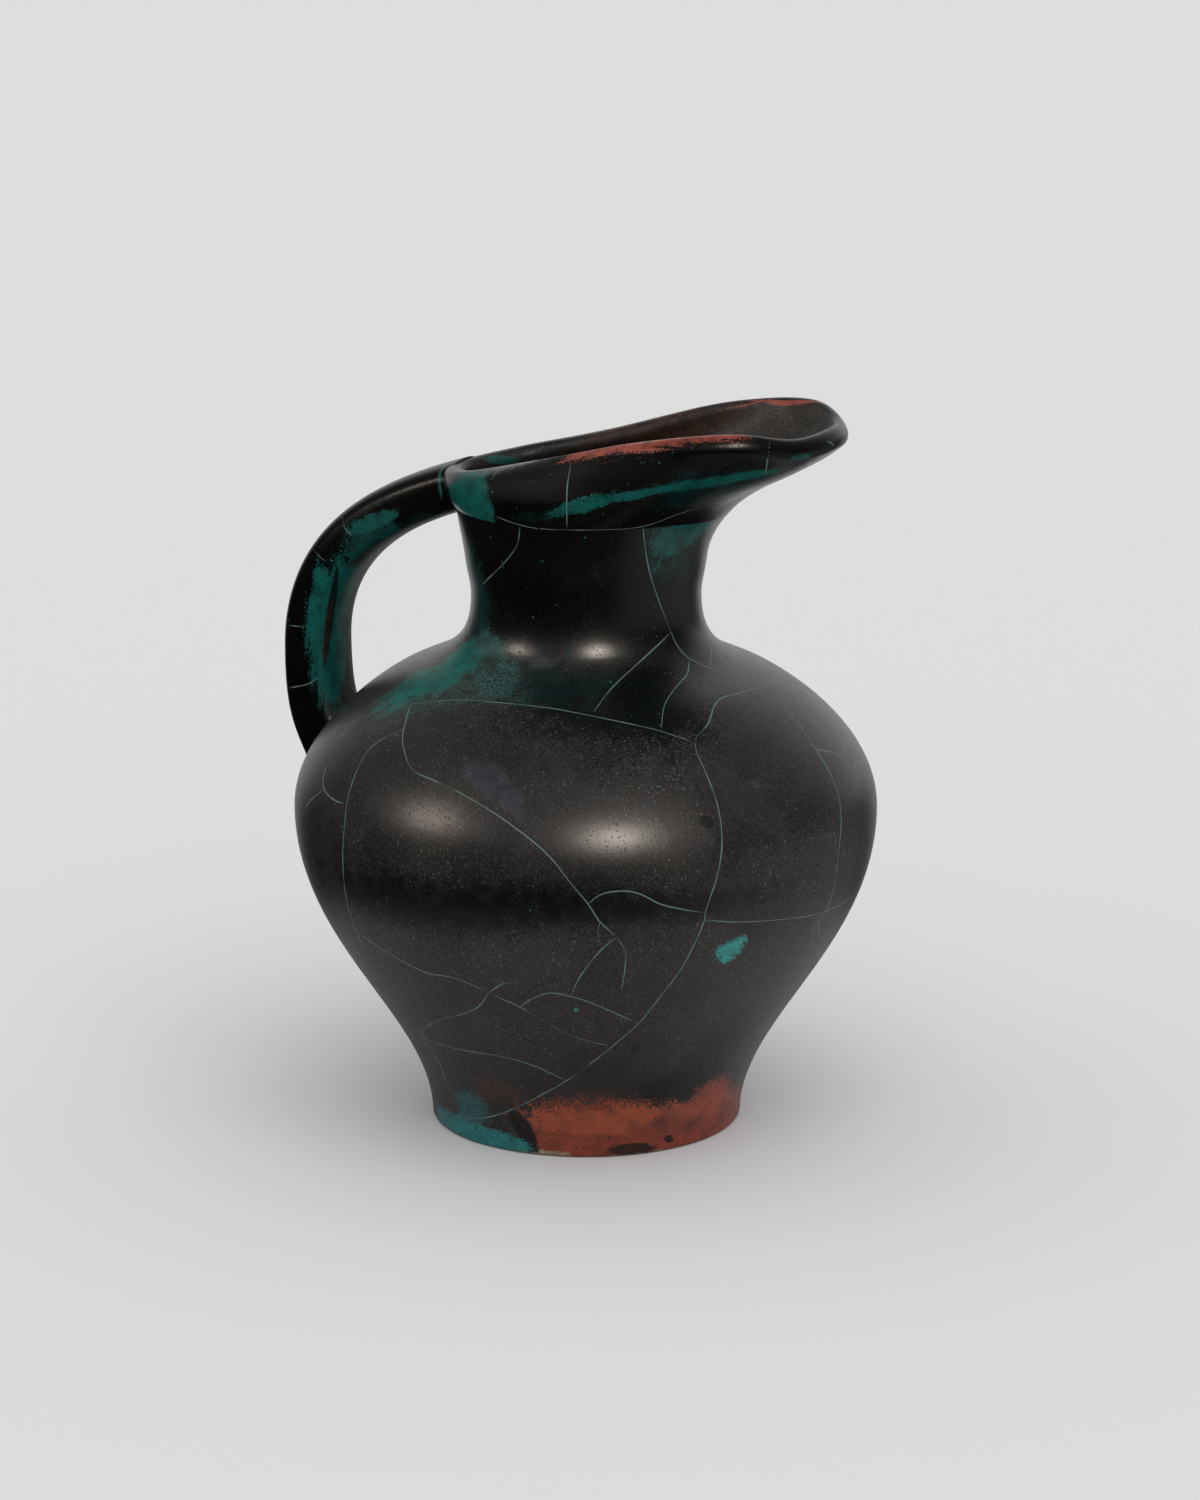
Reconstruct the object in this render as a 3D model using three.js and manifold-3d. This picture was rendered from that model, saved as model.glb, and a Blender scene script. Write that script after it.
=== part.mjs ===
// A glazed stoneware jug: a slab foot, a full-bellied body, a short neck, a collar drawn out
// into a wide spout with a thick rolled lip, and a strap handle from the lip to the shoulder.
// Millimetres, +Z up, spout towards +X, handle towards -X. The origin is on the turning axis,
// at the middle of the underside.

import * as THREE from 'three';
import { mergeVertices } from 'three/addons/utils/BufferGeometryUtils.js';
import Module from 'manifold-3d';

// Foot slab
const FOOT_RADIUS = 49.1;
const FOOT_THICKNESS = 8;
const FOOT_CHAMFER = 1.5;

// Body, measured on its outside. A sweep is how far the outline keeps its direction at an end.
const BELLY_RADIUS = 92;
const BELLY_HEIGHT = 101.7;
const FOOT_SWEEP = 34;
const LOWER_BELLY_SWEEP = 43.4;
const UPPER_BELLY_SWEEP = 20.6;
const SHOULDER_RISE = 41.8;
const SHOULDER_INSET = 32.1;
const SHOULDER_SLOPE = THREE.MathUtils.degToRad(28.7);
const SHOULDER_SWEEP = 11.5;
const BODY_TOP_RISE = 55.3;

// Neck: round up to its turned top, then flared to the fold under the collar
const NECK_ROOT_SWEEP = 12.8;
const NECK_WAIST_RADIUS = 36.15;
const NECK_WAIST_RISE = 67.6;
const NECK_WAIST_SWEEP = 19.4;
const NECK_TOP_RADIUS = 37.7;
const NECK_TOP_RISE = 78.3;
const NECK_TOP_SLOPE = THREE.MathUtils.degToRad(7);
const NECK_TOP_SWEEP = 4;
const FOLD_RISE = 17;
const FLARE_SWEEP = 6.4;

// Walls and lip
const WALL = 5;
const LIP_THICKNESS = 6.9;
const LIP_COIL_SHARE = 0.25;

// Mouth: how far the lip's centre line overhangs the neck's top radius, from the tip of the
// spout over its nose and corners and along the flanks to the pinched waist, rear and back
const TIP_OVERHANG = 42.8;
const NOSE_OVERHANG = 40.6;
const CORNER_OVERHANG = 33.2;
const FLANK_OVERHANG = 12;
const PINCH_OVERHANG = -9.6;
const REAR_OVERHANG = 0.4;
const BACK_OVERHANG = 4.8;

// How far the lip's centre line rises above the fold at the same places
const TIP_RISE = 26.3;
const NOSE_RISE = 26;
const CORNER_RISE = 28.8;
const FLANK_RISE = 25.3;
const PINCH_RISE = 15.6;
const REAR_RISE = 9.8;
const BACK_RISE = 7.8;

// How far the fold stands out beyond the neck's top radius there
const TIP_SPREAD = 8.5;
const NOSE_SPREAD = 7.7;
const CORNER_SPREAD = 4.3;
const FLANK_SPREAD = 2.8;
const PINCH_SPREAD = 1.3;
const BACK_SPREAD = 2.7;

// The same places as stations, each at a turn in degrees from the spout. The last three values
// are outward tilts of the wall in degrees: as the neck reaches the fold, as the collar leaves
// it, and as the collar reaches the lip.
const MOUTH_STATIONS = [
  { turn: 0, overhang: TIP_OVERHANG, rise: TIP_RISE, spread: TIP_SPREAD,
    flare: 45, leave: 42, arrive: 50 },
  { turn: 14, overhang: NOSE_OVERHANG, rise: NOSE_RISE, spread: NOSE_SPREAD,
    flare: 41, leave: 38, arrive: 42 },
  { turn: 27.3, overhang: CORNER_OVERHANG, rise: CORNER_RISE, spread: CORNER_SPREAD,
    flare: 34, leave: 45, arrive: 35 },
  { turn: 49.9, overhang: FLANK_OVERHANG, rise: FLANK_RISE, spread: FLANK_SPREAD,
    flare: 16, leave: 42, arrive: 1 },
  { turn: 100.3, overhang: PINCH_OVERHANG, rise: PINCH_RISE, spread: PINCH_SPREAD,
    flare: 8, leave: 41, arrive: -36 },
  { turn: 142, overhang: REAR_OVERHANG, rise: REAR_RISE, spread: BACK_SPREAD,
    flare: 8, leave: 56, arrive: -28 },
  { turn: 180, overhang: BACK_OVERHANG, rise: BACK_RISE, spread: BACK_SPREAD,
    flare: 8, leave: 54, arrive: -5 },
];
const COLLAR_FULLNESS = 0.36;

// Handle: a strap that leaves the back of the lip, bows out past the belly and returns to it
const HANDLE_WIDTH = 24.5;
const HANDLE_TOP_THICKNESS = 15.6;
const HANDLE_FOOT_THICKNESS = 19;
const HANDLE_SQUARENESS = 3;
const HANDLE_TOP_DROP = 3.7;
const HANDLE_TOP_INSET = 3;
const HANDLE_TOP_SLOPE = THREE.MathUtils.degToRad(17);
const HANDLE_TOP_SWEEP = 33.5;
const HANDLE_BOW_OUT = 1.6;
const HANDLE_BOW_RISE = 43.2;
const HANDLE_BOW_SWEEP_UP = 31;
const HANDLE_BOW_SWEEP_DOWN = 25.7;
const HANDLE_FOOT_RISE = 1.6;
const HANDLE_FOOT_INSET = 9;
const HANDLE_FOOT_SLOPE = THREE.MathUtils.degToRad(18);
const HANDLE_FOOT_SWEEP = 18.3;

// Gap left where a piece is fitted to a curved neighbour
const JOINT_GAP = 0.3;

// Fineness of the faceted surfaces
const TURNED_SIDES = 64;
const OUTLINE_STEPS = 6;
const LIP_STEPS = 64;
const FLARE_STEPS = 3;
const COLLAR_STEPS = 8;
const ROLL_STEPS = 6;
const HANDLE_STEPS = 14;
const HANDLE_SIDES = 20;
const LEAST_STEP = 0.2;

const GLAZE_METALNESS = 0.05;

const wasm = await Module();
wasm.setup();

// Heights that several pieces share
const bodyTop = BELLY_HEIGHT + BODY_TOP_RISE;
const neckTop = BELLY_HEIGHT + NECK_TOP_RISE;
const foldHeight = neckTop + FOLD_RISE;

const glaze = (name, color, roughness) =>
  new THREE.MeshStandardMaterial({ name, color, roughness, metalness: GLAZE_METALNESS });

const darkGlaze = glaze('dark_glaze', 0x24221f, 0.32);
const footGlaze = glaze('foot_glaze', 0x8a3526, 0.45);
const greenGlaze = glaze('green_glaze', 0x143c38, 0.34);

function namedMesh(name, geometry, material) {
  const mesh = new THREE.Mesh(geometry, material);
  mesh.name = name;
  return mesh;
}

const moved = (start, direction, distance) => start.clone().addScaledVector(direction, distance);

// The outside of the turned pieces as points (radius, height), from the table to past the neck.
function turnedOutline() {
  const point = (radius, height) => new THREE.Vector2(radius, height);
  const foot = point(FOOT_RADIUS, 0);
  const girth = point(BELLY_RADIUS, BELLY_HEIGHT);
  const shoulder = point(BELLY_RADIUS - SHOULDER_INSET, BELLY_HEIGHT + SHOULDER_RISE);
  const waist = point(NECK_WAIST_RADIUS, BELLY_HEIGHT + NECK_WAIST_RISE);
  const top = point(NECK_TOP_RADIUS, neckTop);
  const inwards = point(-Math.cos(SHOULDER_SLOPE), Math.sin(SHOULDER_SLOPE));
  const flaring = point(Math.sin(NECK_TOP_SLOPE), Math.cos(NECK_TOP_SLOPE));
  const up = point(0, 1);

  const outline = new THREE.CurvePath();
  outline.add(new THREE.CubicBezierCurve(
    foot, moved(foot, up, FOOT_SWEEP), moved(girth, up, -LOWER_BELLY_SWEEP), girth));
  outline.add(new THREE.CubicBezierCurve(
    girth, moved(girth, up, UPPER_BELLY_SWEEP), moved(shoulder, inwards, -SHOULDER_SWEEP), shoulder));
  outline.add(new THREE.CubicBezierCurve(
    shoulder, moved(shoulder, inwards, NECK_ROOT_SWEEP), moved(waist, up, -NECK_WAIST_SWEEP), waist));
  outline.add(new THREE.CubicBezierCurve(
    waist, moved(waist, up, NECK_TOP_SWEEP), moved(top, flaring, -NECK_TOP_SWEEP), top));
  outline.add(new THREE.LineCurve(top, moved(top, flaring, WALL)));
  return outline.getPoints(OUTLINE_STEPS);
}

// The same outline moved sideways by a distance, inwards where the distance is positive.
function insetOutline(points, distance) {
  return points.map((point, i) => {
    const before = points[Math.max(i - 1, 0)];
    const after = points[Math.min(i + 1, points.length - 1)];
    const direction = after.clone().sub(before).normalize();
    return new THREE.Vector2(point.x - direction.y * distance, point.y + direction.x * distance);
  });
}

function radiusAt(points, height) {
  const i = points.findIndex((point) => point.y >= height);
  const [a, b] = [points[i - 1], points[i]];
  return THREE.MathUtils.mapLinear(height, a.y, b.y, a.x, b.x);
}

// The stretch of an outline between two heights, ending exactly on both.
function stretch(points, low, high) {
  const inside = points.filter((point) => point.y > low + LEAST_STEP && point.y < high - LEAST_STEP);
  const end = (height) => new THREE.Vector2(radiusAt(points, height), height);
  return [end(low), ...inside, end(high)];
}

function turnedGeometry(profile) {
  const geometry = new THREE.LatheGeometry(profile, TURNED_SIDES);
  geometry.rotateX(Math.PI / 2);
  return geometry;
}

// Closed rings of points joined into one skin. The last ring joins the first, or both are capped.
// Two pieces that meet in a joint cut its four-sided faces along the same diagonal: one of them
// is crossed.
function skin(rings, { looped = false, crossed = false } = {}) {
  const sides = rings[0].length;
  const points = rings.flat();
  const faces = [];
  const quad = (a, b, c, d) => faces.push(...(crossed ? [a, b, d, b, c, d] : [a, b, c, a, c, d]));
  const bands = looped ? rings.length : rings.length - 1;
  for (let i = 0; i < bands; i++) {
    const here = i * sides;
    const next = ((i + 1) % rings.length) * sides;
    for (let j = 0; j < sides; j++) {
      const k = (j + 1) % sides;
      quad(here + j, here + k, next + k, next + j);
    }
  }
  if (!looped) {
    const centre = (ring) => ring.reduce((sum, p) => sum.add(p), new THREE.Vector3()).divideScalar(sides);
    const last = (rings.length - 1) * sides;
    points.push(centre(rings[0]), centre(rings[rings.length - 1]));
    for (let j = 0; j < sides; j++) {
      const k = (j + 1) % sides;
      faces.push(points.length - 2, k, j);
      faces.push(points.length - 1, last + j, last + k);
    }
  }
  const geometry = new THREE.BufferGeometry().setFromPoints(points);
  geometry.setIndex(faces);
  geometry.computeVertexNormals();
  return geometry;
}

function solidFrom(geometry) {
  const bare = geometry.clone();
  bare.deleteAttribute('normal');
  bare.deleteAttribute('uv');
  const merged = mergeVertices(bare);
  const vertProperties = merged.attributes.position.array;
  const triVerts = new Uint32Array(merged.index.array);
  return new wasm.Manifold(new wasm.Mesh({ numProp: 3, vertProperties, triVerts }));
}

function geometryFrom(solid) {
  const mesh = solid.getMesh();
  const geometry = new THREE.BufferGeometry();
  geometry.setAttribute('position', new THREE.BufferAttribute(mesh.vertProperties, mesh.numProp));
  geometry.setIndex(new THREE.BufferAttribute(mesh.triVerts, 1));
  geometry.computeVertexNormals();
  return geometry;
}

const UP = new THREE.Vector3(0, 0, 1);

// A direction that leans from straight up towards an outward direction.
function tilted(outward, degrees) {
  const angle = THREE.MathUtils.degToRad(degrees);
  return moved(outward.clone().multiplyScalar(Math.sin(angle)), UP, Math.cos(angle));
}

// Points along a wall that leaves one point and reaches another in given directions.
function wallPoints(from, leaving, to, arriving, sweep, steps) {
  return new THREE.CubicBezierCurve3(
    from, moved(from, leaving, sweep), moved(to, arriving, -sweep), to).getPoints(steps);
}

// The middle of the lip's round edge at one station.
function lipCentre(station) {
  const turn = THREE.MathUtils.degToRad(station.turn);
  const reach = NECK_TOP_RADIUS + station.overhang;
  return new THREE.Vector3(reach * Math.cos(turn), reach * Math.sin(turn), foldHeight + station.rise);
}

// One row for each place round the mouth, with the points of the collar's outer wall, of the
// round lip and of the inner wall, all in the upright plane of that place.
function mouthRows() {
  const between = MOUTH_STATIONS.slice(1, -1).reverse();
  const stations = [...MOUTH_STATIONS, ...between.map((s) => ({ ...s, turn: -s.turn }))];
  const lipLine = new THREE.CatmullRomCurve3(stations.map(lipCentre), true);
  const evenly = (pick) => new THREE.CatmullRomCurve3(stations.map(pick), true, 'catmullrom');
  const walls = evenly((s) => new THREE.Vector3(s.leave, s.arrive, 0));
  const folds = evenly((s) => new THREE.Vector3(NECK_TOP_RADIUS + s.spread, s.flare, 0));
  return Array.from({ length: LIP_STEPS }, (_, i) => {
    const place = lipLine.getUtoTmapping(i / LIP_STEPS);
    const lip = lipLine.getPoint(place);
    const tangent = lipLine.getTangent(place);
    const { x: leave, y: arrive } = walls.getPoint(place);
    const { x: fold, y: flare } = folds.getPoint(place);
    const radial = new THREE.Vector3(lip.x, lip.y, 0).normalize();
    const outward = new THREE.Vector3(tangent.y, -tangent.x, 0).normalize();
    const end = tilted(outward, arrive);
    const side = tilted(outward, arrive + 90);
    const outerFold = radial.clone().multiplyScalar(fold).setZ(foldHeight);
    const innerFold = moved(outerFold, radial, -WALL);
    const outerLip = moved(lip, side, LIP_THICKNESS / 2);
    const innerLip = moved(lip, side, -LIP_THICKNESS / 2);
    const sweep = COLLAR_FULLNESS * outerFold.distanceTo(outerLip);
    return {
      radial, lip, end, side, outerFold, innerFold,
      flaring: tilted(radial, flare),
      outer: wallPoints(outerFold, tilted(radial, leave), outerLip, end, sweep, COLLAR_STEPS),
      inner: wallPoints(innerFold, tilted(radial, flare), innerLip, end, sweep, COLLAR_STEPS),
    };
  });
}

// The round end of the lip, over the top from the outer side to the inner side.
function rollPoints(row) {
  const points = [];
  for (let k = 1; k < ROLL_STEPS; k++) {
    const angle = (Math.PI * k) / ROLL_STEPS;
    const across = moved(row.lip, row.side, (LIP_THICKNESS / 2) * Math.cos(angle));
    points.push(moved(across, row.end, (LIP_THICKNESS / 2) * Math.sin(angle)));
  }
  return points;
}

const coilStart = Math.round(COLLAR_STEPS * (1 - LIP_COIL_SHARE));

function collarSection(row) {
  const outer = row.outer.slice(0, coilStart + 1);
  const inner = row.inner.slice(0, coilStart + 1);
  return [...inner, ...outer.reverse()];
}

function coilSection(row) {
  const outer = row.outer.slice(coilStart);
  const inner = row.inner.slice(coilStart);
  for (const wall of [outer, inner]) {
    const along = wall[1].clone().sub(wall[0]).normalize();
    wall[0] = moved(wall[0], along, JOINT_GAP);
  }
  return [...inner, ...rollPoints(row).reverse(), ...outer.reverse()];
}

// The neck's wall at one place, round at its foot and turned top, and flared to the fold above it.
function neckWall(row, turnedPoints, fold) {
  const upright = stretch(turnedPoints, bodyTop, neckTop).map((p) =>
    row.radial.clone().multiplyScalar(p.x).setZ(p.y));
  const top = upright[upright.length - 1];
  const start = tilted(row.radial, THREE.MathUtils.radToDeg(NECK_TOP_SLOPE));
  return [...upright, ...wallPoints(top, start, fold, row.flaring, FLARE_SWEEP, FLARE_STEPS).slice(1)];
}

function neckSection(row) {
  const outer = neckWall(row, outline, row.outerFold);
  const inner = neckWall(row, lining, row.innerFold);
  return [...inner, ...outer.reverse()];
}

// The neck, collar and lip filled in and grown by the joint gap, to cut the handle's end to fit.
function mouthEnvelope() {
  const grid = rows.map((row) => [
    ...neckWall(row, outline, row.outerFold),
    ...row.outer.slice(1),
    ...rollPoints(row).slice(0, ROLL_STEPS / 2),
  ]);
  const grown = grid.map((points, i) => points.map((point, j) => {
    const around = grid[(i + 1) % grid.length][j].clone().sub(grid.at(i - 1)[j]);
    const upwards = points[Math.min(j + 1, points.length - 1)].clone().sub(points[Math.max(j - 1, 0)]);
    return moved(point, around.cross(upwards).normalize(), JOINT_GAP);
  }));
  const rings = grown[0].map((_, level) => grown.map((points) => points[level]));
  return solidFrom(skin(rings));
}

// The turned pieces filled in and grown by the same gap.
function turnedEnvelope() {
  const grown = insetOutline(outline, -JOINT_GAP);
  const profile = [new THREE.Vector2(0, 0), ...grown.map((p) => p.clone().setY(Math.max(p.y, 0)))];
  profile.push(new THREE.Vector2(0, grown[grown.length - 1].y));
  return solidFrom(turnedGeometry(profile));
}

function handleSolid() {
  const back = lipCentre(MOUTH_STATIONS[MOUTH_STATIONS.length - 1]);
  const point = (x, z) => new THREE.Vector3(x, 0, z);
  const root = point(back.x + HANDLE_TOP_INSET, back.z - HANDLE_TOP_DROP);
  const bow = point(-(BELLY_RADIUS + HANDLE_BOW_OUT), BELLY_HEIGHT + HANDLE_BOW_RISE);
  const foot = point(-(BELLY_RADIUS - HANDLE_FOOT_INSET), BELLY_HEIGHT + HANDLE_FOOT_RISE);
  const outAndDown = point(-Math.cos(HANDLE_TOP_SLOPE), -Math.sin(HANDLE_TOP_SLOPE));
  const outAndUp = point(-Math.sin(HANDLE_FOOT_SLOPE), Math.cos(HANDLE_FOOT_SLOPE));
  const up = point(0, 1);
  const halves = [
    new THREE.CubicBezierCurve3(
      root, moved(root, outAndDown, HANDLE_TOP_SWEEP), moved(bow, up, HANDLE_BOW_SWEEP_UP), bow),
    new THREE.CubicBezierCurve3(
      bow, moved(bow, up, -HANDLE_BOW_SWEEP_DOWN), moved(foot, outAndUp, HANDLE_FOOT_SWEEP), foot),
  ];
  const centreLine = new THREE.CurvePath();
  halves.forEach((half) => centreLine.add(half));
  const count = 2 * HANDLE_STEPS;
  const rings = [];
  for (let i = 0; i <= count; i++) {
    const centre = centreLine.getPointAt(i / count);
    const tangent = centreLine.getTangentAt(i / count);
    const normal = new THREE.Vector3(-tangent.z, 0, tangent.x);
    const thickness = THREE.MathUtils.lerp(HANDLE_TOP_THICKNESS, HANDLE_FOOT_THICKNESS, i / count);
    rings.push(strapSection(centre, normal, thickness));
  }
  return solidFrom(skin(rings));
}

// One section of the strap, a rounded rectangle across the handle's centre line.
function strapSection(centre, normal, thickness) {
  const rounded = (value) => Math.sign(value) * Math.abs(value) ** (2 / HANDLE_SQUARENESS);
  const across = new THREE.Vector3(0, 1, 0);
  const points = [];
  for (let k = 0; k < HANDLE_SIDES; k++) {
    const angle = (2 * Math.PI * k) / HANDLE_SIDES;
    points.push(centre.clone()
      .addScaledVector(across, (HANDLE_WIDTH / 2) * rounded(Math.cos(angle)))
      .addScaledVector(normal, (thickness / 2) * rounded(Math.sin(angle))));
  }
  return points;
}

const outline = turnedOutline();
const lining = insetOutline(outline, WALL);

function footSlab() {
  const point = (radius, height) => new THREE.Vector2(radius, height);
  return turnedGeometry([
    point(0, 0),
    point(FOOT_RADIUS - FOOT_CHAMFER, 0),
    point(radiusAt(outline, FOOT_CHAMFER), FOOT_CHAMFER),
    point(radiusAt(outline, FOOT_THICKNESS), FOOT_THICKNESS),
    point(0, FOOT_THICKNESS),
  ]);
}

function bodyWall() {
  const outside = stretch(outline, FOOT_THICKNESS, bodyTop);
  const inside = stretch(lining, FOOT_THICKNESS, bodyTop).reverse();
  return turnedGeometry([...outside, ...inside, outside[0]]);
}

const rows = mouthRows();
const handle = handleSolid().subtract(turnedEnvelope()).subtract(mouthEnvelope());

const jug = new THREE.Group();
jug.name = 'jug';
jug.add(
  namedMesh('foot_slab', footSlab(), footGlaze),
  namedMesh('body', bodyWall(), darkGlaze),
  namedMesh('neck', skin(rows.map(neckSection), { looped: true }), darkGlaze),
  namedMesh('spout_collar', skin(rows.map(collarSection), { looped: true }), darkGlaze),
  namedMesh('lip_coil', skin(rows.map(coilSection), { looped: true, crossed: true }), darkGlaze),
  namedMesh('handle', geometryFrom(handle), greenGlaze),
);

export default jug;
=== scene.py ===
"""The looks of a glazed stoneware jug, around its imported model.

The jug is one fired wall, made of six pieces of clay: foot slab, body, neck, spout collar, rolled
lip and strap handle. Each gets a fine skin here that meets its neighbours without a step, under
one charcoal glaze that breaks to teal, red and black and is crazed by pale hairlines. Lengths are
in metres, +X is the spout, -X the handle, +Z up.
"""

import logging
import math
from dataclasses import dataclass, field
from enum import Enum

import bmesh
import bpy
from mathutils import Euler, Matrix, Vector
from mathutils.bvhtree import BVHTree
from mathutils.geometry import interpolate_bezier


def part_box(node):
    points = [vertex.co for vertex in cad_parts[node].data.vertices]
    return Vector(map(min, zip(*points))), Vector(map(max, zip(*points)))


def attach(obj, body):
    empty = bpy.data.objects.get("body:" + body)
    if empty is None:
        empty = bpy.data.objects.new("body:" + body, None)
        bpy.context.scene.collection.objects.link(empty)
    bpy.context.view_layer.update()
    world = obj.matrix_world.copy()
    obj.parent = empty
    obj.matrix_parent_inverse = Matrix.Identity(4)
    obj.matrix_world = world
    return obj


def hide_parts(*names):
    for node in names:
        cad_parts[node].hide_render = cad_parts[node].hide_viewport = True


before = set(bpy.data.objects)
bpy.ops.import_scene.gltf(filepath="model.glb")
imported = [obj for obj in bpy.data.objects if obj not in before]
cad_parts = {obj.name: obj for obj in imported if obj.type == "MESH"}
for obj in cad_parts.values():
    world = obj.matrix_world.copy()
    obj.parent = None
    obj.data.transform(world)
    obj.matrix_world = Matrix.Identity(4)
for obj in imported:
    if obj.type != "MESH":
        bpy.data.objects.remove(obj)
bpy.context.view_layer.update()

LOG = logging.getLogger("jug")
MM = 0.001
UP = Vector((0, 0, 1))

# Fineness of the skins: places round the jug, and the step along a wall
PLACES_ROUND = 288
WALL_STEP = 1.6 * MM
SEAM_RING = 0.15 * MM


# Shaping helpers


def deselect_all() -> None:
    """Leaves edit mode and deselects every object."""
    if bpy.context.object and bpy.context.object.mode != "OBJECT":
        bpy.ops.object.mode_set(mode="OBJECT")
    bpy.ops.object.select_all(action="DESELECT")


def finish_mesh(piece: bpy.types.Object, sharp_angle: float) -> bpy.types.Object:
    """Merges doubles, points the faces outwards and smooths a piece in edit mode.

    Args:
        piece: The piece being modelled, in edit mode.
        sharp_angle: The angle above which an edge stays sharp, in degrees.

    Returns:
        The same piece, in object mode.
    """
    bpy.ops.mesh.select_all(action="SELECT")
    bpy.ops.mesh.remove_doubles(threshold=0.001 * MM)
    bpy.ops.mesh.normals_make_consistent(inside=False)
    bpy.ops.object.mode_set(mode="OBJECT")
    bpy.ops.object.shade_smooth_by_angle(angle=math.radians(sharp_angle))
    return piece


def spun(name: str, profile: list[Vector], sharp_angle: float = 40) -> bpy.types.Object:
    """Turns a profile round the upright axis.

    Args:
        name: The name of the new piece.
        profile: Points in the XZ plane, in order. It closes on itself, or ends on the axis.
        sharp_angle: The angle above which an edge stays sharp, in degrees.

    Returns:
        The turned piece.
    """
    deselect_all()
    bpy.ops.mesh.primitive_plane_add(size=MM)
    piece = bpy.context.object
    piece.name = name
    bpy.ops.object.mode_set(mode="EDIT")
    bpy.ops.mesh.merge(type="CENTER")
    bpy.ops.transform.translate(value=profile[0])
    for here, there in zip(profile, profile[1:]):
        bpy.ops.mesh.extrude_region_move(TRANSFORM_OT_translate={"value": there - here})
    bpy.ops.mesh.select_all(action="SELECT")
    bpy.ops.mesh.spin(steps=PLACES_ROUND, angle=math.tau, center=(0, 0, 0), axis=(0, 0, 1))
    return finish_mesh(piece, sharp_angle)


def raised(name: str, rings: list[list[Vector]], looped: bool, sharp_angle: float = 40) -> bpy.types.Object:
    """Raises a wall from a circle, ring by ring.

    Args:
        name: The name of the new piece.
        rings: Closed rings of points, all of the same count.
        looped: Whether the last ring joins the first. Otherwise both ends are filled.
        sharp_angle: The angle above which an edge stays sharp, in degrees.

    Returns:
        The raised piece.
    """
    sides = len(rings[0])
    deselect_all()
    bpy.ops.mesh.primitive_circle_add(vertices=sides, radius=rings[0][0].length)
    piece = bpy.context.object
    piece.name = name
    bpy.ops.object.mode_set(mode="EDIT")
    path = rings + [rings[0]] if looped else rings
    for number, ring in enumerate(path):
        if number:
            bpy.ops.mesh.extrude_region_move()
        mesh = bmesh.from_edit_mesh(piece.data)
        mesh.verts.ensure_lookup_table()
        for vertex, point in zip(mesh.verts[-sides:], ring):
            vertex.co = point
    if not looped:
        close_end(sides)
        bpy.ops.mesh.select_all(action="DESELECT")
        mesh = bmesh.from_edit_mesh(piece.data)
        mesh.verts.ensure_lookup_table()
        for vertex in mesh.verts[:sides]:
            vertex.select = True
        mesh.select_flush(True)
        close_end(sides)
    return finish_mesh(piece, sharp_angle)


def close_end(sides: int) -> None:
    """Fills the selected ring, with a grid where it has more than four sides."""
    if sides > 4:
        bpy.ops.mesh.fill_grid(span=sides // 4)
    else:
        bpy.ops.mesh.edge_face_add()


def spaced(points: list[Vector], step: float, seams: bool = True) -> list[Vector]:
    """Points at even steps along a line, with a close extra one beside each end.

    Args:
        points: The line, in small steps.
        step: The greatest distance between two of the new points.
        seams: Whether the ends get the extra points, which keep the shading even across a seam.

    Returns:
        The new points, with the line's own ends.
    """
    reach = [0.0]
    for here, there in zip(points, points[1:]):
        reach.append(reach[-1] + (there - here).length)
    count = max(2, math.ceil(reach[-1] / step))
    places = [reach[-1] * i / count for i in range(count + 1)]
    if seams:
        places = sorted(places + [SEAM_RING, reach[-1] - SEAM_RING])
    new, i = [], 0
    for place in places:
        while i < len(reach) - 2 and reach[i + 1] < place:
            i += 1
        share = (place - reach[i]) / (reach[i + 1] - reach[i])
        new.append(points[i].lerp(points[i + 1], share))
    return new


def by_hand(point: Vector) -> Vector:
    """Moves a point of the true form to where the potter's uneven wall has it.

    The wall stands inwards of the true form by some tenths of a millimetre, in slow waves round
    and up the jug, and the shoulder beside the handle rises a little.
    """
    turn = math.atan2(point.y, point.x)
    waves = math.sin(2 * turn + 31 * point.z + 0.6) + 0.6 * math.sin(3 * turn - 47 * point.z + 2.1)
    waves += 0.4 * math.sin(5 * turn + 83 * point.z)
    inwards = UNEVENNESS * (waves - 2) / 4
    radius = math.hypot(point.x, point.y)
    share = 1 + inwards / max(radius, 20 * MM)
    beside = max(0.0, math.cos(turn - SHOULDER_LIFT_TURN)) ** 3
    over = math.exp(-(((point.z - SHOULDER_LIFT_HEIGHT) / SHOULDER_LIFT_REACH) ** 2))
    return Vector((point.x * share, point.y * share, point.z + SHOULDER_LIFT * beside * over))


UNEVENNESS = 0.5 * MM
SHOULDER_LIFT = 0.8 * MM
SHOULDER_LIFT_TURN = math.radians(-157)
SHOULDER_LIFT_HEIGHT = 146 * MM
SHOULDER_LIFT_REACH = 11 * MM


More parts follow.
